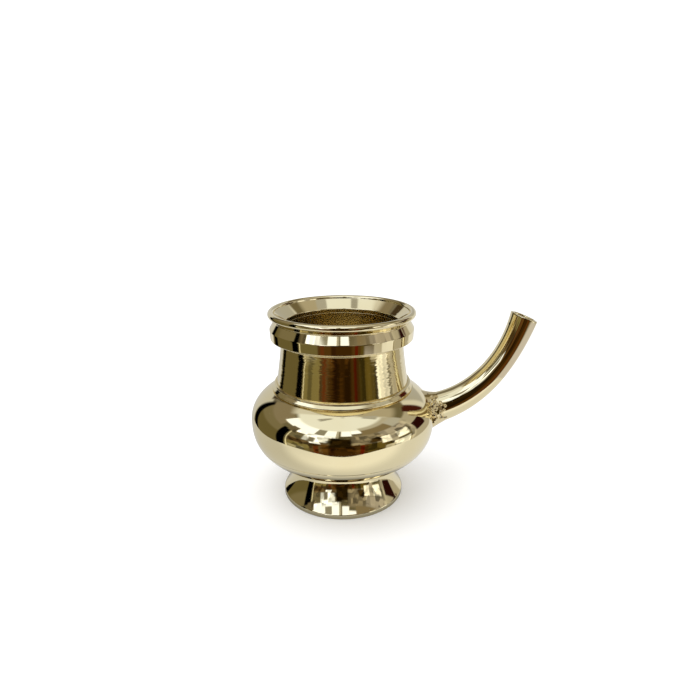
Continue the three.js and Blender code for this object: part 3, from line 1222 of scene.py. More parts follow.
@dataclass(frozen=True)
class Neck:
    """The flared tube between the shoulder and the collar, and the filler bead at its foot."""

    base_radius: float = 33.7
    top_radius: float = 31.0
    flare_power: float = 1.3
    wall: float = 2.5
    base_register: float = 1.1
    top_register: float = 0.6
    ripple_depth: float = 0.0035
    ripple_pitch: float = 0.42
    swell_pitch: float = 1.68
    swell_gain: float = 2.4
    bead_radius: float = 0.8
    bead_steps: int = 24
    row_height: float = 0.16

    def radius_at(self, height: float, sizes: PotFrame) -> float:
        """Gives the neck's outer radius at a height."""
        down = (sizes.collar_seat - height) / (sizes.collar_seat - sizes.neck_step)
        return self.top_radius + (self.base_radius - self.top_radius) * down**self.flare_power

    def wall_line(self, sizes: PotFrame, inset: float, depth: float, salt: float) -> list[Point]:
        """Follows the neck's wall upwards over the shallow ripples that the turning tool left.

        Args:
            sizes: The shared sizes.
            inset: How far into the wall the line lies.
            depth: How deep the ripples are.
            salt: What makes one side's ripples differ from the other's.

        Returns:
            The line's radii and heights.
        """
        span = sizes.collar_seat - sizes.neck_step
        count = round(span / self.row_height)
        line = []
        for step in range(count + 1):
            height = sizes.neck_step + span * step / count
            swell = noise.noise(Vector((height / self.swell_pitch, salt, 0.0)))
            ripple = noise.noise(Vector((height / self.ripple_pitch, salt, 7.0)))
            radius = self.radius_at(min(height, sizes.collar_seat), sizes) - inset
            line.append((radius + depth * (self.swell_gain * swell + ripple), height))
        return line

    def build(self, shop: Workshop) -> None:
        """Makes the neck and the bead inside it.

        Args:
            shop: The shared sizes, the lathe and the finishes.
        """
        sizes = shop.sizes
        base, top = self.base_radius - self.base_register, self.top_radius - self.top_register
        throat = self.top_radius - self.wall
        outline = Outline()
        outline.add([(base, sizes.ring_seat), (base, sizes.neck_step)], Side.INSIDE)
        outline.add(self.wall_line(sizes, 0.0, self.ripple_depth, salt=1.5))
        register = [(top, sizes.collar_seat), (top, sizes.neck_top), (throat, sizes.neck_top)]
        outline.add(register, Side.INSIDE)
        outline.add(self.wall_line(sizes, self.wall, 2 * self.ripple_depth, salt=4.5)[::-1], Side.INSIDE)
        outline.add([(self.base_radius - self.wall, sizes.ring_seat)], Side.INSIDE)
        shop.turn("neck_wall", "neck", outline, TURNED, wobble=0.02, seed=7.0)
        bead = Outline()
        centre = (self.base_radius - self.wall, sizes.ring_seat)
        bead.add(circle_arc(centre, self.bead_radius, 0, 360, self.bead_steps)[:-1], Side.INSIDE)
        shop.turn("neck_seam_bead", "neck_braze", bead, FILLER, wobble=0.25, seed=8.0)


@dataclass(frozen=True)
class Collar:
    """The moulding round the top of the neck: a foot bead, an undercut, an upright face and a bevel."""

    radius: float = 36.3
    face_taper: float = 0.3
    top_radius: float = 34.1
    bevel_height: float = 3.9
    undercut: float = 2.2
    edge_break: float = 0.3
    ledge_radius: float = 32.0
    ledge_height: float = 0.8
    bore: float = 30.5
    edge_rounding: float = 0.22
    bead_rounding: float = 0.2
    step_rounding: float = 0.12

    def build(self, shop: Workshop) -> None:
        """Makes the collar.

        Args:
            shop: The shared sizes, the lathe and the finishes.
        """
        seat, top = shop.sizes.collar_seat, shop.sizes.collar_top
        bead, foot = self.ledge_radius + self.edge_break, self.radius - self.face_taper
        outline = Outline()
        outline.add([(self.ledge_radius, seat)])
        ledge = [(bead, seat + self.edge_break), (bead, seat + self.ledge_height)]
        outline.add(ledge, rounding=self.bead_rounding)
        broken = (foot - self.edge_break, seat + self.undercut - self.edge_break)
        outline.add([broken, (foot, seat + self.undercut)], rounding=self.step_rounding)
        outline.add([(self.radius, top - self.bevel_height)], rounding=self.edge_rounding)
        outline.add([(self.top_radius, top)], rounding=self.step_rounding)
        outline.add([(self.bore, top), (self.bore, seat)], Side.INSIDE)
        shop.turn("collar_moulding", "collar_band", outline, POLISHED, wobble=0.03, seed=9.0)


@dataclass(frozen=True)
class Lip:
    """The flared mouth with a round bead rolled outwards at its rim."""

    rim_centre_radius: float = 35.4
    rim_radius: float = 1.6
    throat_radius: float = 28.5
    throat_drop: float = 6.3
    polish_depth: float = 0.8
    spigot_radius: float = 30.4
    root_radius: float = 34.1
    root_height: float = 0.4
    undercut_angle: float = -75.0
    inner_angle: float = 180.0
    corner_rounding: float = 0.5
    arc_steps: int = 36

    def build(self, shop: Workshop) -> None:
        """Makes the lip.

        Args:
            shop: The shared sizes, the lathe and the finishes.
        """
        sizes = shop.sizes
        rim = (self.rim_centre_radius, sizes.pot_top - self.rim_radius)
        bead = circle_arc(rim, self.rim_radius, self.undercut_angle, self.inner_angle, self.arc_steps)
        outline = Outline()
        outline.add([(self.throat_radius, sizes.neck_top)], Side.INSIDE)
        spigot = [(self.spigot_radius, sizes.neck_top), (self.spigot_radius, sizes.collar_top)]
        outline.add(spigot, Side.INSIDE)
        outline.add([(self.root_radius, sizes.collar_top)])
        outline.add([(self.root_radius, sizes.collar_top + self.root_height)], rounding=self.corner_rounding)
        outline.add(bead)
        throat = sizes.pot_top - self.throat_drop
        outline.add([(self.throat_radius, throat)], rounding=self.corner_rounding)
        outline.add([(self.throat_radius, throat - self.polish_depth)], Side.INSIDE)
        shop.turn("lip_rolled", "lip_ring", outline, POLISHED, wobble=0.03, seed=10.0)


@dataclass(frozen=True)
class Spout:
    """The tapered pouring tube, bent along a smooth line, and the bar that bores the shoulder for it."""

    inset: float = 7.5
    root_height: float = 44.6
    reach: float = 44.1
    rise: float = 51.1
    root_angle: float = 7.4
    root_handle: float = 36.0
    tip_angle: float = 75.7
    tip_handle: float = 15.5
    tip_cut: float = 68.7
    root_radius: float = 8.6
    waist_radius: float = 6.25
    tip_radius: float = 6.9
    waist_place: float = 0.72
    taper_power: float = 1.6
    mouth_power: float = 2.0
    wall: float = 1.6
    belly_wall: float = 2.2
    tip_rounding: float = 0.45
    tip_steps: int = 8
    around: int = 96
    rows: int = 130
    drill_play: float = 0.1
    drill_length: float = 16.0
    drill_rows: int = 24
    line_samples: int = 400

    def line(self, shop: Workshop) -> SpoutLine:
        """Gives the centre line on the pot's own axis.

        Args:
            shop: The shared sizes, the lathe and the finishes.

        Returns:
            The centre line.
        """
        root = Vector((shop.skin.radius - self.inset, 0.0, self.root_height))
        tip = Vector((shop.skin.radius + self.reach, 0.0, root.z + self.rise))
        start, end = math.radians(self.root_angle), math.radians(self.tip_angle)
        first = root + Vector((math.cos(start), 0.0, math.sin(start))) * self.root_handle
        second = tip - Vector((math.cos(end), 0.0, math.sin(end))) * self.tip_handle
        return SpoutLine((root, first, second, tip), self.line_samples)

    def radius(self, share: float) -> float:
        """Gives the tube's outer radius at a share of the centre line's length.

        Args:
            share: The share of the line's length.

        Returns:
            The radius.
        """
        to_root = max(0.0, 1 - share / self.waist_place)
        to_tip = max(0.0, (share - self.waist_place) / (1 - self.waist_place))
        root_gain = (self.root_radius - self.waist_radius) * to_root**self.taper_power
        tip_gain = (self.tip_radius - self.waist_radius) * to_tip**self.mouth_power
        return self.waist_radius + root_gain + tip_gain

    def surface(self, line: SpoutLine, length: float, turn: float, growth: float) -> Vector:
        """Finds a place on or beside the tube's skin.

        Args:
            line: The centre line.
            length: How far along the line the place is.
            turn: The angle round the tube, from its underside.
            growth: How far outside the skin it is.

        Returns:
            The place, on the pot's own axis.
        """
        radius = self.radius(length / line.length) + growth
        return line.beside(length, turn, radius)

    def tip_shift(self, turn: float, radius: float) -> float:
        """Gives how far past the tip the slanting cut lies at an angle round the tube."""
        slant = math.radians(self.tip_angle - self.tip_cut)
        return -math.tan(slant) * radius * math.cos(turn)

    def ring(self, shop: Workshop, line: SpoutLine, share: float, growth: float) -> Ring:
        """Makes one ring of the tube between the pot's inner wall and the cut at the tip.

        Args:
            shop: The shared sizes.
            line: The centre line.
            share: Where the ring lies, from 0 at the root to 1 at the tip.
            growth: How far outside the skin it lies.

        Returns:
            The ring's points, in metres in the row frame.
        """
        points = []
        for step in range(self.around):
            turn = math.tau * step / self.around
            start = self.root_length(shop.skin, line, turn, growth)
            end = line.length + self.tip_shift(turn, self.tip_radius + growth)
            points.append(shop.seat(self.surface(line, start + (end - start) * share, turn, growth)))
        return points

    def root_length(self, skin: BellySkin, line: SpoutLine, turn: float, growth: float) -> float:
        """Finds where a line along the tube's skin leaves the inside of the belly.

        Args:
            skin: The belly's skin.
            line: The centre line.
            turn: The angle round the tube.
            growth: How far outside the skin the line along the tube runs.

        Returns:
            The length along the spout's line.
        """
        def held(length: float) -> bool:
            """Tells whether the belly's hollow holds the line's point at a length."""
            return skin.holds(self.surface(line, length, turn, growth), self.belly_wall)

        return crossing(held, 0.0, 2 * self.inset)

    def build_tube(self, shop: Workshop) -> None:
        """Makes the tube, with its wall and the softened edges of its tip.

        Args:
            shop: The shared sizes, the lathe and the finishes.
        """
        line = self.line(shop)
        last = 1 - self.tip_rounding / line.length
        outer = [self.ring(shop, line, last * row / self.rows, 0.0) for row in range(self.rows + 1)]
        edge = []
        for step in range(1, self.tip_steps + 1):
            angle = step / self.tip_steps * math.pi
            drop = self.tip_rounding * (1 - math.cos(angle)) / 2
            back = self.tip_rounding * (1 - math.sin(angle)) / line.length
            half = self.wall * (1 - math.cos(angle)) / 2
            edge.append(self.ring(shop, line, 1 - back, -max(drop, half)))
        left = range(self.rows - 1, -1, -1)
        bore = [self.ring(shop, line, last * row / self.rows, -self.wall) for row in left]
        mesh = skinned("spout_pipe", [*outer, *edge, *bore], inside_from=len(outer) + len(edge) - 2)
        piece = linked("spout_pipe", mesh)
        shop.hand_over(piece, "spout_tube", POLISHED)

    def drill(self, shop: Workshop) -> bpy.types.Object:
        """Makes the closed bar that bores the shoulder for the tube.

        Args:
            shop: The shared sizes, the lathe and the finishes.

        Returns:
            The bar.
        """
        line, places = self.line(shop), []
        for row in range(self.drill_rows + 1):
            length = self.drill_length * row / self.drill_rows - self.inset / 2
            for step in range(self.around):
                place = self.surface(line, length, math.tau * step / self.around, -self.drill_play)
                places.append(shop.seat(place))
        ends = (tuple(range(self.around))[::-1], tuple(range(len(places) - self.around, len(places))))
        mesh = bpy.data.meshes.new("spout_drill")
        sides = wound(self.drill_rows + 1, self.around, closed=False)
        mesh.from_pydata(places, [], [ends[0], *sides, ends[1]])
        outward(mesh)
        return linked("spout_drill", mesh)


class SpoutLine:
    """A smooth bent line, measured by its length."""

    def __init__(self, handles: tuple[Vector, Vector, Vector, Vector], samples: int) -> None:
        """Measures the cubic curve through its handles.

        Args:
            handles: The curve's four handles.
            samples: How many straight steps measure it.
        """
        self.handles = handles
        self.samples = samples
        self.lengths = [0.0]
        before = self.at(0.0)
        for step in range(1, samples + 1):
            here = self.at(step / samples)
            self.lengths.append(self.lengths[-1] + (here - before).length)
            before = here
        self.length = self.lengths[-1]

    def at(self, share: float) -> Vector:
        """Gives the curve's point at a share of its own parameter."""
        a, b, c, d = self.handles
        rest = 1 - share
        return a * rest**3 + b * 3 * rest**2 * share + c * 3 * rest * share**2 + d * share**3

    def share_at(self, length: float) -> float:
        """Gives the parameter at a length from the start.

        Args:
            length: The length along the curve.

        Returns:
            The parameter.
        """
        low, high = 0, self.samples
        while high - low > 1:
            middle = (low + high) // 2
            if self.lengths[middle] <= length:
                low = middle
            else:
                high = middle
        span = self.lengths[high] - self.lengths[low]
        return (low + (length - self.lengths[low]) / span) / self.samples

    def tangent(self, share: float) -> Vector:
        """Gives the direction of the curve.

        Args:
            share: The share of the curve's own parameter.

        Returns:
            The direction, one unit long.
        """
        a, b, c, d = self.handles
        rest = 1 - share
        slope = (b - a) * rest**2 + (c - b) * 2 * rest * share + (d - c) * share**2
        return slope.normalized()

    def beside(self, length: float, turn: float, radius: float) -> Vector:
        """Finds a place at a distance from the line.

        Args:
            length: How far along the line, which runs on straight past both ends.
            turn: The angle round it, from its underside.
            radius: The distance.

        Returns:
            The place.
        """
        inside = min(max(length, 0.0), self.length)
        share = self.share_at(inside)
        along = self.tangent(share)
        below = Vector((along.z, 0.0, -along.x))
        centre = self.at(share) + along * (length - inside)
        return centre + below * (radius * math.cos(turn)) + Vector((0.0, radius * math.sin(turn), 0.0))


class LumpTree(GrowthTree):
    """Geometry nodes that scatter beads of filler metal over the front of a fillet."""

    def __init__(self) -> None:
        """Builds the tree."""
        kinds = {
            "Beads per Area": "Float",
            "Smallest": "Float",
            "Largest": "Float",
            "Seed": "Int",
            "Finish": "Material",
        }
        super().__init__("beads_of_filler", "Fillet", kinds)
        sketch, given = self.sketch, self.given
        where = sketch.add("GeometryNodeInputNamedAttribute", {"Name": FRONT_ATTRIBUTE}, data_type="FLOAT")
        density = sketch.times(where.outputs["Attribute"], given["Beads per Area"])
        scatter = sketch.add(
            "GeometryNodeDistributePointsOnFaces",
            {"Mesh": given["Fillet"], "Density": density, "Seed": given["Seed"]},
        ).outputs["Points"]
        ball = sketch.add("GeometryNodeMeshIcoSphere", {"Radius": 1.0, "Subdivisions": 2}).outputs["Mesh"]
        size = sketch.add("FunctionNodeRandomValue", {"Seed": given["Seed"]}, data_type="FLOAT")
        sketch.put(size.inputs[2], given["Smallest"])
        sketch.put(size.inputs[3], given["Largest"])
        beads = sketch.add(
            "GeometryNodeInstanceOnPoints",
            {"Points": scatter, "Instance": ball, "Scale": size.outputs[1]},
        ).outputs[0]
        join = sketch.add("GeometryNodeJoinGeometry")
        for part in (beads, given["Fillet"]):
            sketch.put(join.inputs[0], part)
        self.close(join.outputs[0])


@dataclass(frozen=True)
class SpoutFillet:
    """The filler round the spout's root: smooth above and below, lumpy and pitted on the near side."""

    reach: float = 3.9
    start: float = 0.5
    length: float = 14.0
    power: float = 2.2
    skin_gain: float = 0.35
    toe_drop: float = 0.75
    sunk: float = 0.45
    longest: float = 18.0
    inner_depth: float = 1.0
    rows: int = 56
    around: int = 128
    voxel: float = 0.2
    beads_per_area: float = 0.2
    smallest_bead: float = 0.55
    largest_bead: float = 1.3
    seed: int = 11
    relax_rounds: int = 2
    bead_start: float = -4.5
    bead_end: float = 8.0
    bead_fade: float = 2.0
    facing_start: float = 0.5
    facing_gain: float = 1.6
    lowest_facing: float = -0.55
    underside_fade: float = 0.4

    def growth(self, length: float) -> float:
        """Gives how far the filler stands off the tube at a length along the spout."""
        share = clipped((length - self.start) / self.length)
        return self.reach * (1 - share) ** self.power + self.skin_gain - self.toe_drop * share**3

    def build(self, shop: Workshop, spout: Spout) -> None:
        """Makes the fillet, its beads and its pits.

        Args:
            shop: The shared sizes, the lathe and the finishes.
            spout: The spout's sizes.
        """
        line = spout.line(shop)
        shares, columns = [row / self.rows for row in range(self.rows + 1)], range(self.around)
        outer, inner = (
            [[self.place(shop, spout, line, share, column, hidden) for column in columns] for share in shares]
            for hidden in (False, True)
        )
        mesh = skinned("spout_fillet_blank", [*outer, *inner[::-1]], inside_from=len(outer))
        self.mark_front(mesh, shop)
        values = {
            "Beads per Area": self.beads_per_area / MM**2,
            "Smallest": self.smallest_bead * MM,
            "Largest": self.largest_bead * MM,
            "Seed": self.seed,
            "Finish": shop.finishes[FILLER.name],
        }
        blank = LumpTree().grow("fillet_lumps", mesh, values)
        fused = blank.modifiers.new("fuse", "REMESH")
        fused.mode = "VOXEL"
        fused.voxel_size = self.voxel * MM
        fused.use_smooth_shade = True
        relax = blank.modifiers.new("relax", "SMOOTH")
        relax.iterations = self.relax_rounds
        relax.factor = 0.5
        piece = settled(blank, "spout_fillet")
        outward(piece.data)
        shop.hand_over(piece, "spout_braze", FILLER)

    def place(
        self, shop: Workshop, spout: Spout, line: SpoutLine, share: float, column: int, hidden: bool
    ) -> Vector:
        """Finds a point of the fillet.

        Args:
            shop: The shared sizes.
            spout: The spout's sizes.
            line: The spout's centre line.
            share: The point's place, from 0 at the belly to 1 on the tube.
            column: Its place round the spout.
            hidden: Whether it lies on the inner side, in the tube's wall.

        Returns:
            The point, in metres in the row frame.
        """
        turn = math.tau * column / self.around

        def buried(length: float) -> bool:
            """Tells whether the filler's skin is still inside the belly's wall at a length."""
            return shop.skin.holds(spout.surface(line, length, turn, self.growth(length)), self.sunk)

        near = crossing(buried, 0.0, self.longest)
        length = near + (self.start + self.length - near) * share
        growth = -self.inner_depth if hidden else self.growth(length)
        return shop.seat(spout.surface(line, length, turn, growth))

    def mark_front(self, mesh: bpy.types.Mesh, shop: Workshop) -> None:
        """Marks how much of the lumpy filler each point of the blank carries.

        Args:
            mesh: The blank of the fillet.
            shop: The shared sizes, the lathe and the finishes.
        """
        root_x = shop.sizes.axis_x + shop.skin.radius
        values = []
        for vertex in mesh.vertices:
            along = vertex.co.x / MM - root_x
            facing = clipped(-vertex.normal.y * self.facing_gain - self.facing_start)
            started = clipped((along - self.bead_start) / self.bead_fade)
            left = clipped((self.bead_end - along) / self.bead_fade)
            raised = clipped((vertex.normal.z - self.lowest_facing) / self.underside_fade)
            values.append(facing * started * left * raised)
        mark_points(mesh, FRONT_ATTRIBUTE, values)


def clipped(value: float) -> float:
    """Keeps a value between 0 and 1."""
    return min(max(value, 0.0), 1.0)


# ---------------------------------------------------------------------------------------------
# Stage, light and camera
# ---------------------------------------------------------------------------------------------


@dataclass(frozen=True)
class Panel:
    """A soft-edged patch of the room that the brass mirrors.

    Angles are degrees: the bearing is 0 towards the camera and grows towards the spout, and the
    height is above the horizon. A panel that leans moves its bearing as it climbs.
    """

    name: str
    left: float
    right: float
    low: float
    high: float
    glow: Colour
    blur: float = 2.5
    lean: float = 0.0


def grey(level: float) -> Colour:
    """Gives a neutral colour."""
    return (level, level, level)


FULL = 180.0
SKY: Colour = (1.35, 1.45, 1.75)
CEILING = [
    Panel("ceiling", -FULL, FULL, 56, 90, (0.93, 0.98, 1.06), blur=5),
    Panel("ceiling_left", -FULL, -112, 52, 82, grey(0.72), blur=9),
    Panel("ceiling_right", 98, FULL, 50, 80, (0.46, 0.42, 0.34), blur=9),
    Panel("ceiling_beam", 28, 98, 54, 61, (0.5, 0.48, 0.44), blur=5),
    Panel("rafter_left", -86, -68, 71, 82, grey(0.4), blur=4),
    Panel("rafter_right", 86, 104, 64, 76, grey(0.45), blur=3),
]
BACKDROP = [
    Panel("backdrop_left", -FULL, -137, -90, 27, grey(0.62), blur=4),
    Panel("backdrop_left_top", -FULL, -137, 27, 56, (0.2, 0.18, 0.14), blur=6),
    Panel("backdrop_left_dark", -152, -141, 23, 38, (0.06, 0.04, 0.02), blur=3),
    Panel("backdrop_right", 131, FULL, -90, 40, grey(0.74), blur=4),
    Panel("backdrop_right_middle", 139, FULL, 9, 42, grey(0.46), blur=5),
    Panel("backdrop_right_top", 127, FULL, 40, 56, (0.17, 0.14, 0.08), blur=4),
    Panel("backdrop_floor_left", -FULL, -140, -90, -17, grey(0.95), blur=8),
    Panel("backdrop_floor_right", 131, FULL, -90, -17, grey(0.95), blur=8),
]
LEFT_WALL = [
    Panel("left_wall", -137, -83, -90, 16, (0.145, 0.12, 0.05), blur=5),
    Panel("left_wall_middle", -137, -83, 14, 32, (0.21, 0.18, 0.105), blur=7),
    Panel("left_wall_top", -137, -90, 30, 54, (0.26, 0.22, 0.155), blur=5),
    Panel("left_window", -98, -60, 42, 60, SKY),
    Panel("left_post", -136, -125, -28, 31, grey(0.0), lean=-0.22),
    Panel("second_post", -84, -71.5, -45, 33, grey(0.0)),
    Panel("second_post_cap", -77, -60, 31, 44, (0.16, 0.13, 0.08)),
]
FRONT_LEFT = [
    Panel("left_door", -71.5, -38, -90, 3, (0.16, 0.135, 0.055)),
    Panel("left_door_foot", -71.5, -46, -17, -9.5, (0.28, 0.26, 0.19), blur=3),
    Panel("left_door_edge", -70, -68.2, -30, 30, (0.85, 0.8, 0.6), blur=0.8),
    Panel("left_shelf", -68, -16, 1, 16, (0.13, 0.09, 0.045), blur=4),
    Panel("left_shelf_dark", -62, -44, 3, 13, (0.05, 0.03, 0.01), lean=-0.5),
    Panel("window_low", -50, -18, 16, 34, (0.78, 0.83, 0.95), blur=3),
    Panel("window_low_bright", -35, -22, 9, 36, SKY, blur=2, lean=-0.35),
    Panel("window_low_dark", -43, -34, 14, 30, (0.24, 0.22, 0.18), blur=4),
    Panel("window_high", -64, -8, 34, 60, SKY),
    Panel("window_blind", -40, -25, 40, 57, (0.3, 0.29, 0.25)),
]
FRONT = [
    Panel("doorway", -38, 36, -90, 8, (0.085, 0.04, 0.008), blur=4),
    Panel("doorway_left", -38, -24, -22, 4, (0.12, 0.075, 0.03), blur=4),
    Panel("onlooker", -15.5, 11, -90, 33, (0.02, 0.011, 0.002), blur=5),
    Panel("onlooker_belt", -15.5, 16, -90, -1, (0.05, 0.021, 0.003), blur=5),
    Panel("onlooker_side", -15.5, -9, -90, -1, (0.038, 0.014, 0.003), blur=3),
    Panel("onlooker_top", -3, 24, 31, 47, (0.14, 0.12, 0.07), blur=4),
    Panel("window_bar", -9, -5, 34, 60, (0.5, 0.48, 0.42), blur=1.5),
    Panel("red_curtain_left", -33.5, -27.5, -28, 3, (0.125, 0.035, 0.008), blur=1.6),
    Panel("red_curtain_right", 20.8, 25.6, -28, 4, (0.11, 0.012, 0.002), blur=1.2),
]
FRONT_RIGHT = [
    Panel("right_case", 11.5, 50, 7, 42, (0.24, 0.205, 0.15), blur=4),
    Panel("right_case_dark", 29, 46, 10, 25, (0.05, 0.03, 0.008), blur=4, lean=0.3),
    Panel("gilt_frame", 30, 61, -90, 6, (0.105, 0.075, 0.015), blur=3),
    Panel("right_pane", 63, 89, -60, -3.5, grey(0.92), blur=1.6),
    Panel("right_pane_low", 52, 66, -60, -9.5, (0.5, 0.47, 0.4), blur=3),
    Panel("right_pane_edge", 88.4, 90.2, -60, 5, (0.24, 0.19, 0.08), blur=0.8),
    Panel("right_window_a", 48, 62, 1, 23, grey(1.1), blur=3),
    Panel("right_window_b", 67, 87, 3, 23, grey(1.0), blur=3),
    Panel("right_window_bar", 60, 69, -3, 24, (0.4, 0.37, 0.33), blur=2),
    Panel("right_shelf", 50, 98, 24, 40, (0.34, 0.31, 0.28), blur=4),
    Panel("right_tan", 28, 76, 40, 56, (0.24, 0.19, 0.115), blur=3),
    Panel("right_pale", 76, 100, 38, 56, grey(0.5), blur=4),
    Panel("window_middle", -2, 13, 41, 60, SKY, blur=3),
    Panel("window_middle_high", 13, 29, 47, 60, SKY, blur=3),
]
RIGHT_WALL = [
    Panel("right_wall", 90, 131, -90, 40, (0.46, 0.43, 0.37), blur=4),
    Panel("right_floor", 36, 140, -90, -24, (0.64, 0.62, 0.68), blur=5),
    Panel("right_post", 98, 117, -3, 20, (0.022, 0.004, 0.003), lean=-0.12),
    Panel("right_post_red", 117, 132, 14, 42, (0.06, 0.012, 0.006)),
]


class Room:
    """The mirrored room: white to the camera, an even dome to matt things, and panels to the brass."""

    base: Colour = (0.16, 0.14, 0.085)
    dome: float = 1.22
    white: float = 1.15
    clutter_width: float = 8.5
    clutter_height: float = 9.5
    clutter_depth: float = 1.35
    clutter_darkest: float = 0.12
    clutter_bearings: Point = (-70, 96)
    clutter_heights: Point = (-19, 38)
    clutter_fades: Point = (10, 8)

    def __init__(self) -> None:
        """Builds the world."""
        world = bpy.data.worlds.new("room")
        world.use_nodes = True
        world.cycles.sampling_method = "NONE"
        world.node_tree.nodes.clear()
        self.sketch = NodeSketch(world.node_tree)
        bpy.context.scene.world = world
        ray = self.sketch.add("ShaderNodeLightPath").outputs
        matt = self._background(grey(1.0), self.dome)
        mirrored = self._background(self._panels(), 1.0)
        white = self._background(grey(1.0), self.white)
        lit = self._mix(ray["Is Diffuse Ray"], mirrored, matt)
        seen = self._mix(ray["Is Camera Ray"], lit, white)
        self.sketch.add("ShaderNodeOutputWorld", {"Surface": seen})

    def _background(self, colour: object, strength: float) -> Socket:
        """Adds a background shader."""
        value = (*colour, 1.0) if isinstance(colour, tuple) else colour
        return self.sketch.add("ShaderNodeBackground", {"Color": value, "Strength": strength}).outputs[0]

    def _mix(self, share: object, first: object, second: object) -> Socket:
        """Mixes two shaders."""
        return self.sketch.add("ShaderNodeMixShader", {0: share, 1: first, 2: second}).outputs[0]

    def _degrees(self, value: object) -> Socket:
        """Turns radians into degrees."""
        return self.sketch.times(value, 180 / math.pi)

    def _panels(self) -> Socket:
        """Lays every panel over the room's base colour, and breaks the front ones up.

        Returns:
            The colour that a ray meets.
        """
        sketch = self.sketch
        split = sketch.split(sketch.add("ShaderNodeTexCoord").outputs["Generated"])
        bearing = self._degrees(sketch.math("ARCTAN2", split["X"], sketch.times(split["Y"], -1.0)))
        height = self._degrees(sketch.math("ARCSINE", split["Z"]))
        colour: object = (*self.base, 1.0)
        for panel in [*LEFT_WALL, *FRONT_LEFT, *FRONT, *FRONT_RIGHT, *RIGHT_WALL, *CEILING, *BACKDROP]:
            colour = self._lay(colour, panel, bearing, height)
        return self._cluttered(colour, bearing, height)

    def _within(self, value: object, low: float, high: float, blur: float) -> Socket:
        """Gives 1 between two limits and 0 outside them, with soft edges."""
        middle, half = (low + high) / 2, (high - low) / 2
        away = self.sketch.math("ABSOLUTE", self.sketch.less(value, middle))
        return self.sketch.ramp(away, (half + blur / 2, half - blur / 2))

    def _lay(self, under: object, panel: Panel, bearing: object, height: object) -> Socket:
        """Lays one panel over a colour.

        Args:
            under: The colour underneath.
            panel: The panel.
            bearing: The bearing of a mirrored ray, in degrees.
            height: Its height over the horizon, in degrees.

        Returns:
            The colour with the panel on it.
        """
        turned = bearing
        if panel.lean:
            turned = self.sketch.less(bearing, self.sketch.times(height, panel.lean))
        across = self._within(turned, panel.left, panel.right, panel.blur)
        upward = self._within(height, panel.low, panel.high, panel.blur)
        return self.sketch.blend(self.sketch.times(across, upward), under, (*panel.glow, 1.0))

    def _cluttered(self, colour: object, bearing: object, height: object) -> Socket:
        """Breaks up the shelves and windows in front, as a furnished room does.

        Args:
            colour: The room's colour there.
            bearing: The bearing of a mirrored ray, in degrees.
            height: Its height over the horizon, in degrees.

        Returns:
            The broken colour.
        """
        sketch = self.sketch
        across = sketch.math("DIVIDE", bearing, self.clutter_width)
        upward = sketch.math("DIVIDE", height, self.clutter_height)
        place = sketch.vector(across, upward, 0.0)
        cells = sketch.add(
            "ShaderNodeTexVoronoi",
            {"Vector": place, "Scale": 1.0, "Randomness": 0.85, "Smoothness": 0.22},
            feature="SMOOTH_F1",
            distance="CHEBYCHEV",
        ).outputs["Color"]
        swing = sketch.times(sketch.less(sketch.split(cells)["X"], 0.5), self.clutter_depth)
        zone = sketch.times(
            self._within(bearing, *self.clutter_bearings, self.clutter_fades[0]),
            self._within(height, *self.clutter_heights, self.clutter_fades[1]),
        )
        gain = sketch.math("MAXIMUM", sketch.plus(sketch.times(swing, zone), 1.0), self.clutter_darkest)
        return sketch.blend(1.0, colour, sketch.vector(gain, gain, gain), "MULTIPLY")


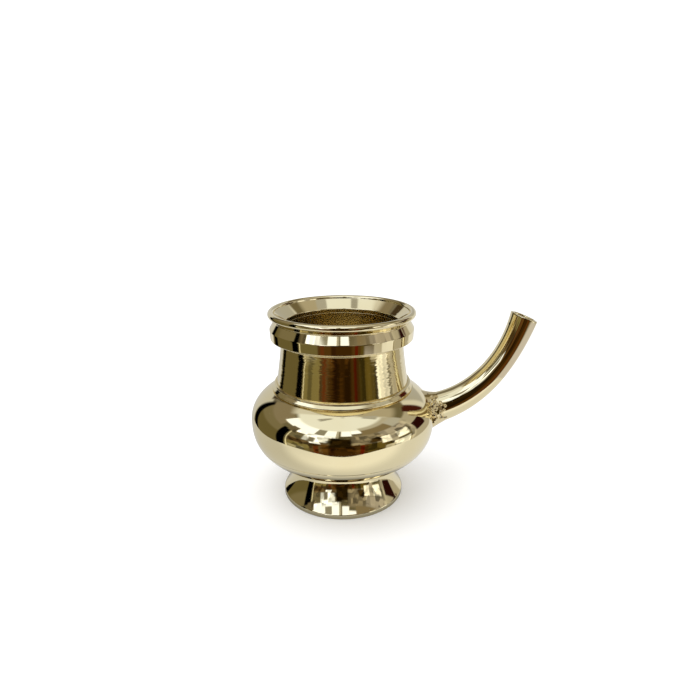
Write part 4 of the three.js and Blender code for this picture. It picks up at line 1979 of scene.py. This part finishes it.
@dataclass(frozen=True)
class Studio:
    """The pale board that the pot stands on, the softbox and the camera. Sizes are millimetres."""

    board_left: float = -165.0
    board_right: float = 155.0
    board_front: float = -124.0
    board_back: float = 900.0
    board_corner: float = 70.0
    board_corner_steps: int = 10
    board_albedo: Colour = (0.93, 0.93, 0.93)
    # Painted light on the board that only the brass sees: a glow that varies round the pot, and a painted
    # shadow round the foot.
    back_span: Point = (-90, 110)
    back_glow: Point = (0.60, 0.78)
    front_span: Point = (-120, 10)
    front_glow: Point = (0.80, 0.98)
    front_start: Point = (-45, -85)
    foot_shade_span: Point = (29, 48)
    foot_shade: float = 0.33
    softbox_size: float = 900.0
    softbox_place: Vector = Vector((-400.0, -300.0, 1000.0))
    softbox_power: float = 3.0
    sensor_width: float = 36.0
    focal_share: float = 526 / 700
    camera_back: float = 257.6
    camera_height: float = 155.87
    camera_side: float = 4.0
    camera_tilt: float = 16.76
    camera_roll: float = 0.25

    def build(self, sizes: PotFrame) -> None:
        """Sets up the room, the board, the softbox and the camera.

        Args:
            sizes: The shared sizes.
        """
        view = bpy.context.scene.view_settings
        view.view_transform = "Standard"
        view.look = "None"
        Room()
        self.build_board(sizes)
        self.build_softbox(sizes)
        self.build_camera(sizes)

    def build_board(self, sizes: PotFrame) -> None:
        """Lays the board, with its two front corners rounded off.

        Args:
            sizes: The shared sizes.
        """
        corner = self.board_corner
        edge = []
        for centre_x, start in ((self.board_left + corner, 180.0), (self.board_right - corner, 270.0)):
            centre = (centre_x, self.board_front + corner)
            edge += circle_arc(centre, corner, start, start + 90, self.board_corner_steps)
        edge += [(self.board_right, self.board_back), (self.board_left, self.board_back)]
        mesh = bpy.data.meshes.new("board")
        places = [((x + sizes.axis_x) * MM, y * MM, 0.0) for x, y in edge]
        mesh.from_pydata(places, [], [tuple(range(len(places)))])
        mesh.materials.append(self.build_paint(sizes))
        linked("board", mesh)

    def build_paint(self, sizes: PotFrame) -> bpy.types.Material:
        """Paints the board: matt and white to the camera, and in what the brass mirrors a glow of painted
        light with a painted shadow round the foot.

        Args:
            sizes: The shared sizes.

        Returns:
            The paint.
        """
        paint = bpy.data.materials.new("board_paint")
        paint.use_nodes = True
        paint.node_tree.nodes.clear()
        sketch = NodeSketch(paint.node_tree)
        matt = sketch.add("ShaderNodeBsdfDiffuse", {"Color": (*self.board_albedo, 1.0)}).outputs[0]
        mirrored = {"Color": self._painted_board_glow(sketch, sizes), "Strength": 1.0}
        # For glossy rays the board glows with painted light and a painted foot shadow instead of being lit.
        glow = sketch.add("ShaderNodeEmission", mirrored).outputs[0]
        ray = sketch.add("ShaderNodeLightPath").outputs["Is Glossy Ray"]
        shown = sketch.add("ShaderNodeMixShader", {0: ray, 1: matt, 2: glow}).outputs[0]
        sketch.add("ShaderNodeOutputMaterial", {"Surface": shown})
        return paint

    def _painted_board_glow(self, sketch: NodeSketch, sizes: PotFrame) -> Socket:
        """Paints the light and shade that the brass mirrors off the board, from its place round the pot, with
        a painted shadow round the foot.

        Args:
            sketch: The tree that the nodes go into.
            sizes: The shared sizes.

        Returns:
            The painted glow, as a grey colour.
        """
        split = sketch.split(sketch.add("ShaderNodeTexCoord").outputs["Object"])
        across = sketch.less(sketch.math("DIVIDE", split["X"], MM), sizes.axis_x)
        along = sketch.math("DIVIDE", split["Y"], MM)
        level = sketch.add("ShaderNodeMix", {"Factor": sketch.ramp(along, self.front_start)})
        sketch.put(level.inputs[2], sketch.ramp(across, self.back_span, self.back_glow))
        sketch.put(level.inputs[3], sketch.ramp(across, self.front_span, self.front_glow))
        # Painted shadow round the foot, as the brass sees it.
        painted_foot_shadow = sketch.ramp(sketch.reach(across, along), self.foot_shade_span, (self.foot_shade, 1.0))
        value = sketch.times(level.outputs[0], painted_foot_shadow)
        return sketch.vector(value, value, value)

    def build_softbox(self, sizes: PotFrame) -> None:
        """Hangs the soft key light, which the brass doesn't mirror.

        Args:
            sizes: The shared sizes.
        """
        data = bpy.data.lights.new("softbox", "AREA")
        data.size = self.softbox_size * MM
        data.energy = self.softbox_power
        lamp = bpy.data.objects.new("softbox", data)
        lamp.location = (self.softbox_place + Vector((sizes.axis_x, 0.0, 0.0))) * MM
        lamp.rotation_mode = "QUATERNION"
        lamp.rotation_quaternion = (-self.softbox_place).to_track_quat("-Z", "Y")
        lamp.visible_glossy = False
        lamp.visible_camera = False
        bpy.context.scene.collection.objects.link(lamp)

    def build_camera(self, sizes: PotFrame) -> None:
        """Sets up the camera.

        Args:
            sizes: The shared sizes.
        """
        data = bpy.data.cameras.new("camera")
        data.sensor_width = self.sensor_width
        data.lens = self.sensor_width * self.focal_share
        camera = bpy.data.objects.new("camera", data)
        bpy.context.scene.collection.objects.link(camera)
        tilt = math.radians(self.camera_tilt)
        looking = Vector((0.0, math.cos(tilt), -math.sin(tilt)))
        place = Vector((sizes.axis_x + self.camera_side, -self.camera_back, self.camera_height))
        camera.location = place * MM
        camera.rotation_mode = "QUATERNION"
        roll = Quaternion(looking, math.radians(self.camera_roll))
        camera.rotation_quaternion = roll @ looking.to_track_quat("-Z", "Y")
        bpy.context.scene.camera = camera


def main() -> None:
    """Builds the pot, its stage and its light."""
    logging.basicConfig(level=logging.INFO, format="%(name)s %(message)s")
    sizes = PotFrame.measured()
    skin = BellySkin(
        radius=sizes.belly_radius,
        equator=EQUATOR_HEIGHT,
        depth=EQUATOR_HEIGHT - sizes.bowl_bottom,
        rise=BELLY_RISE,
    )
    axis = sizes.axis_x * MM
    finishes = {finish.name: finish.material(axis) for finish in (POLISHED, TURNED, FILLER)}
    shop = Workshop(sizes, skin, LatheTree(axis), finishes)
    spout = Spout()
    Foot().build(shop)
    Belly().build(shop, spout)
    NeckBand().build(shop)
    Neck().build(shop)
    Collar().build(shop)
    Lip().build(shop)
    spout.build_tube(shop)
    SpoutFillet().build(shop, spout)
    Studio().build(sizes)


if __name__ == "__main__":
    main()
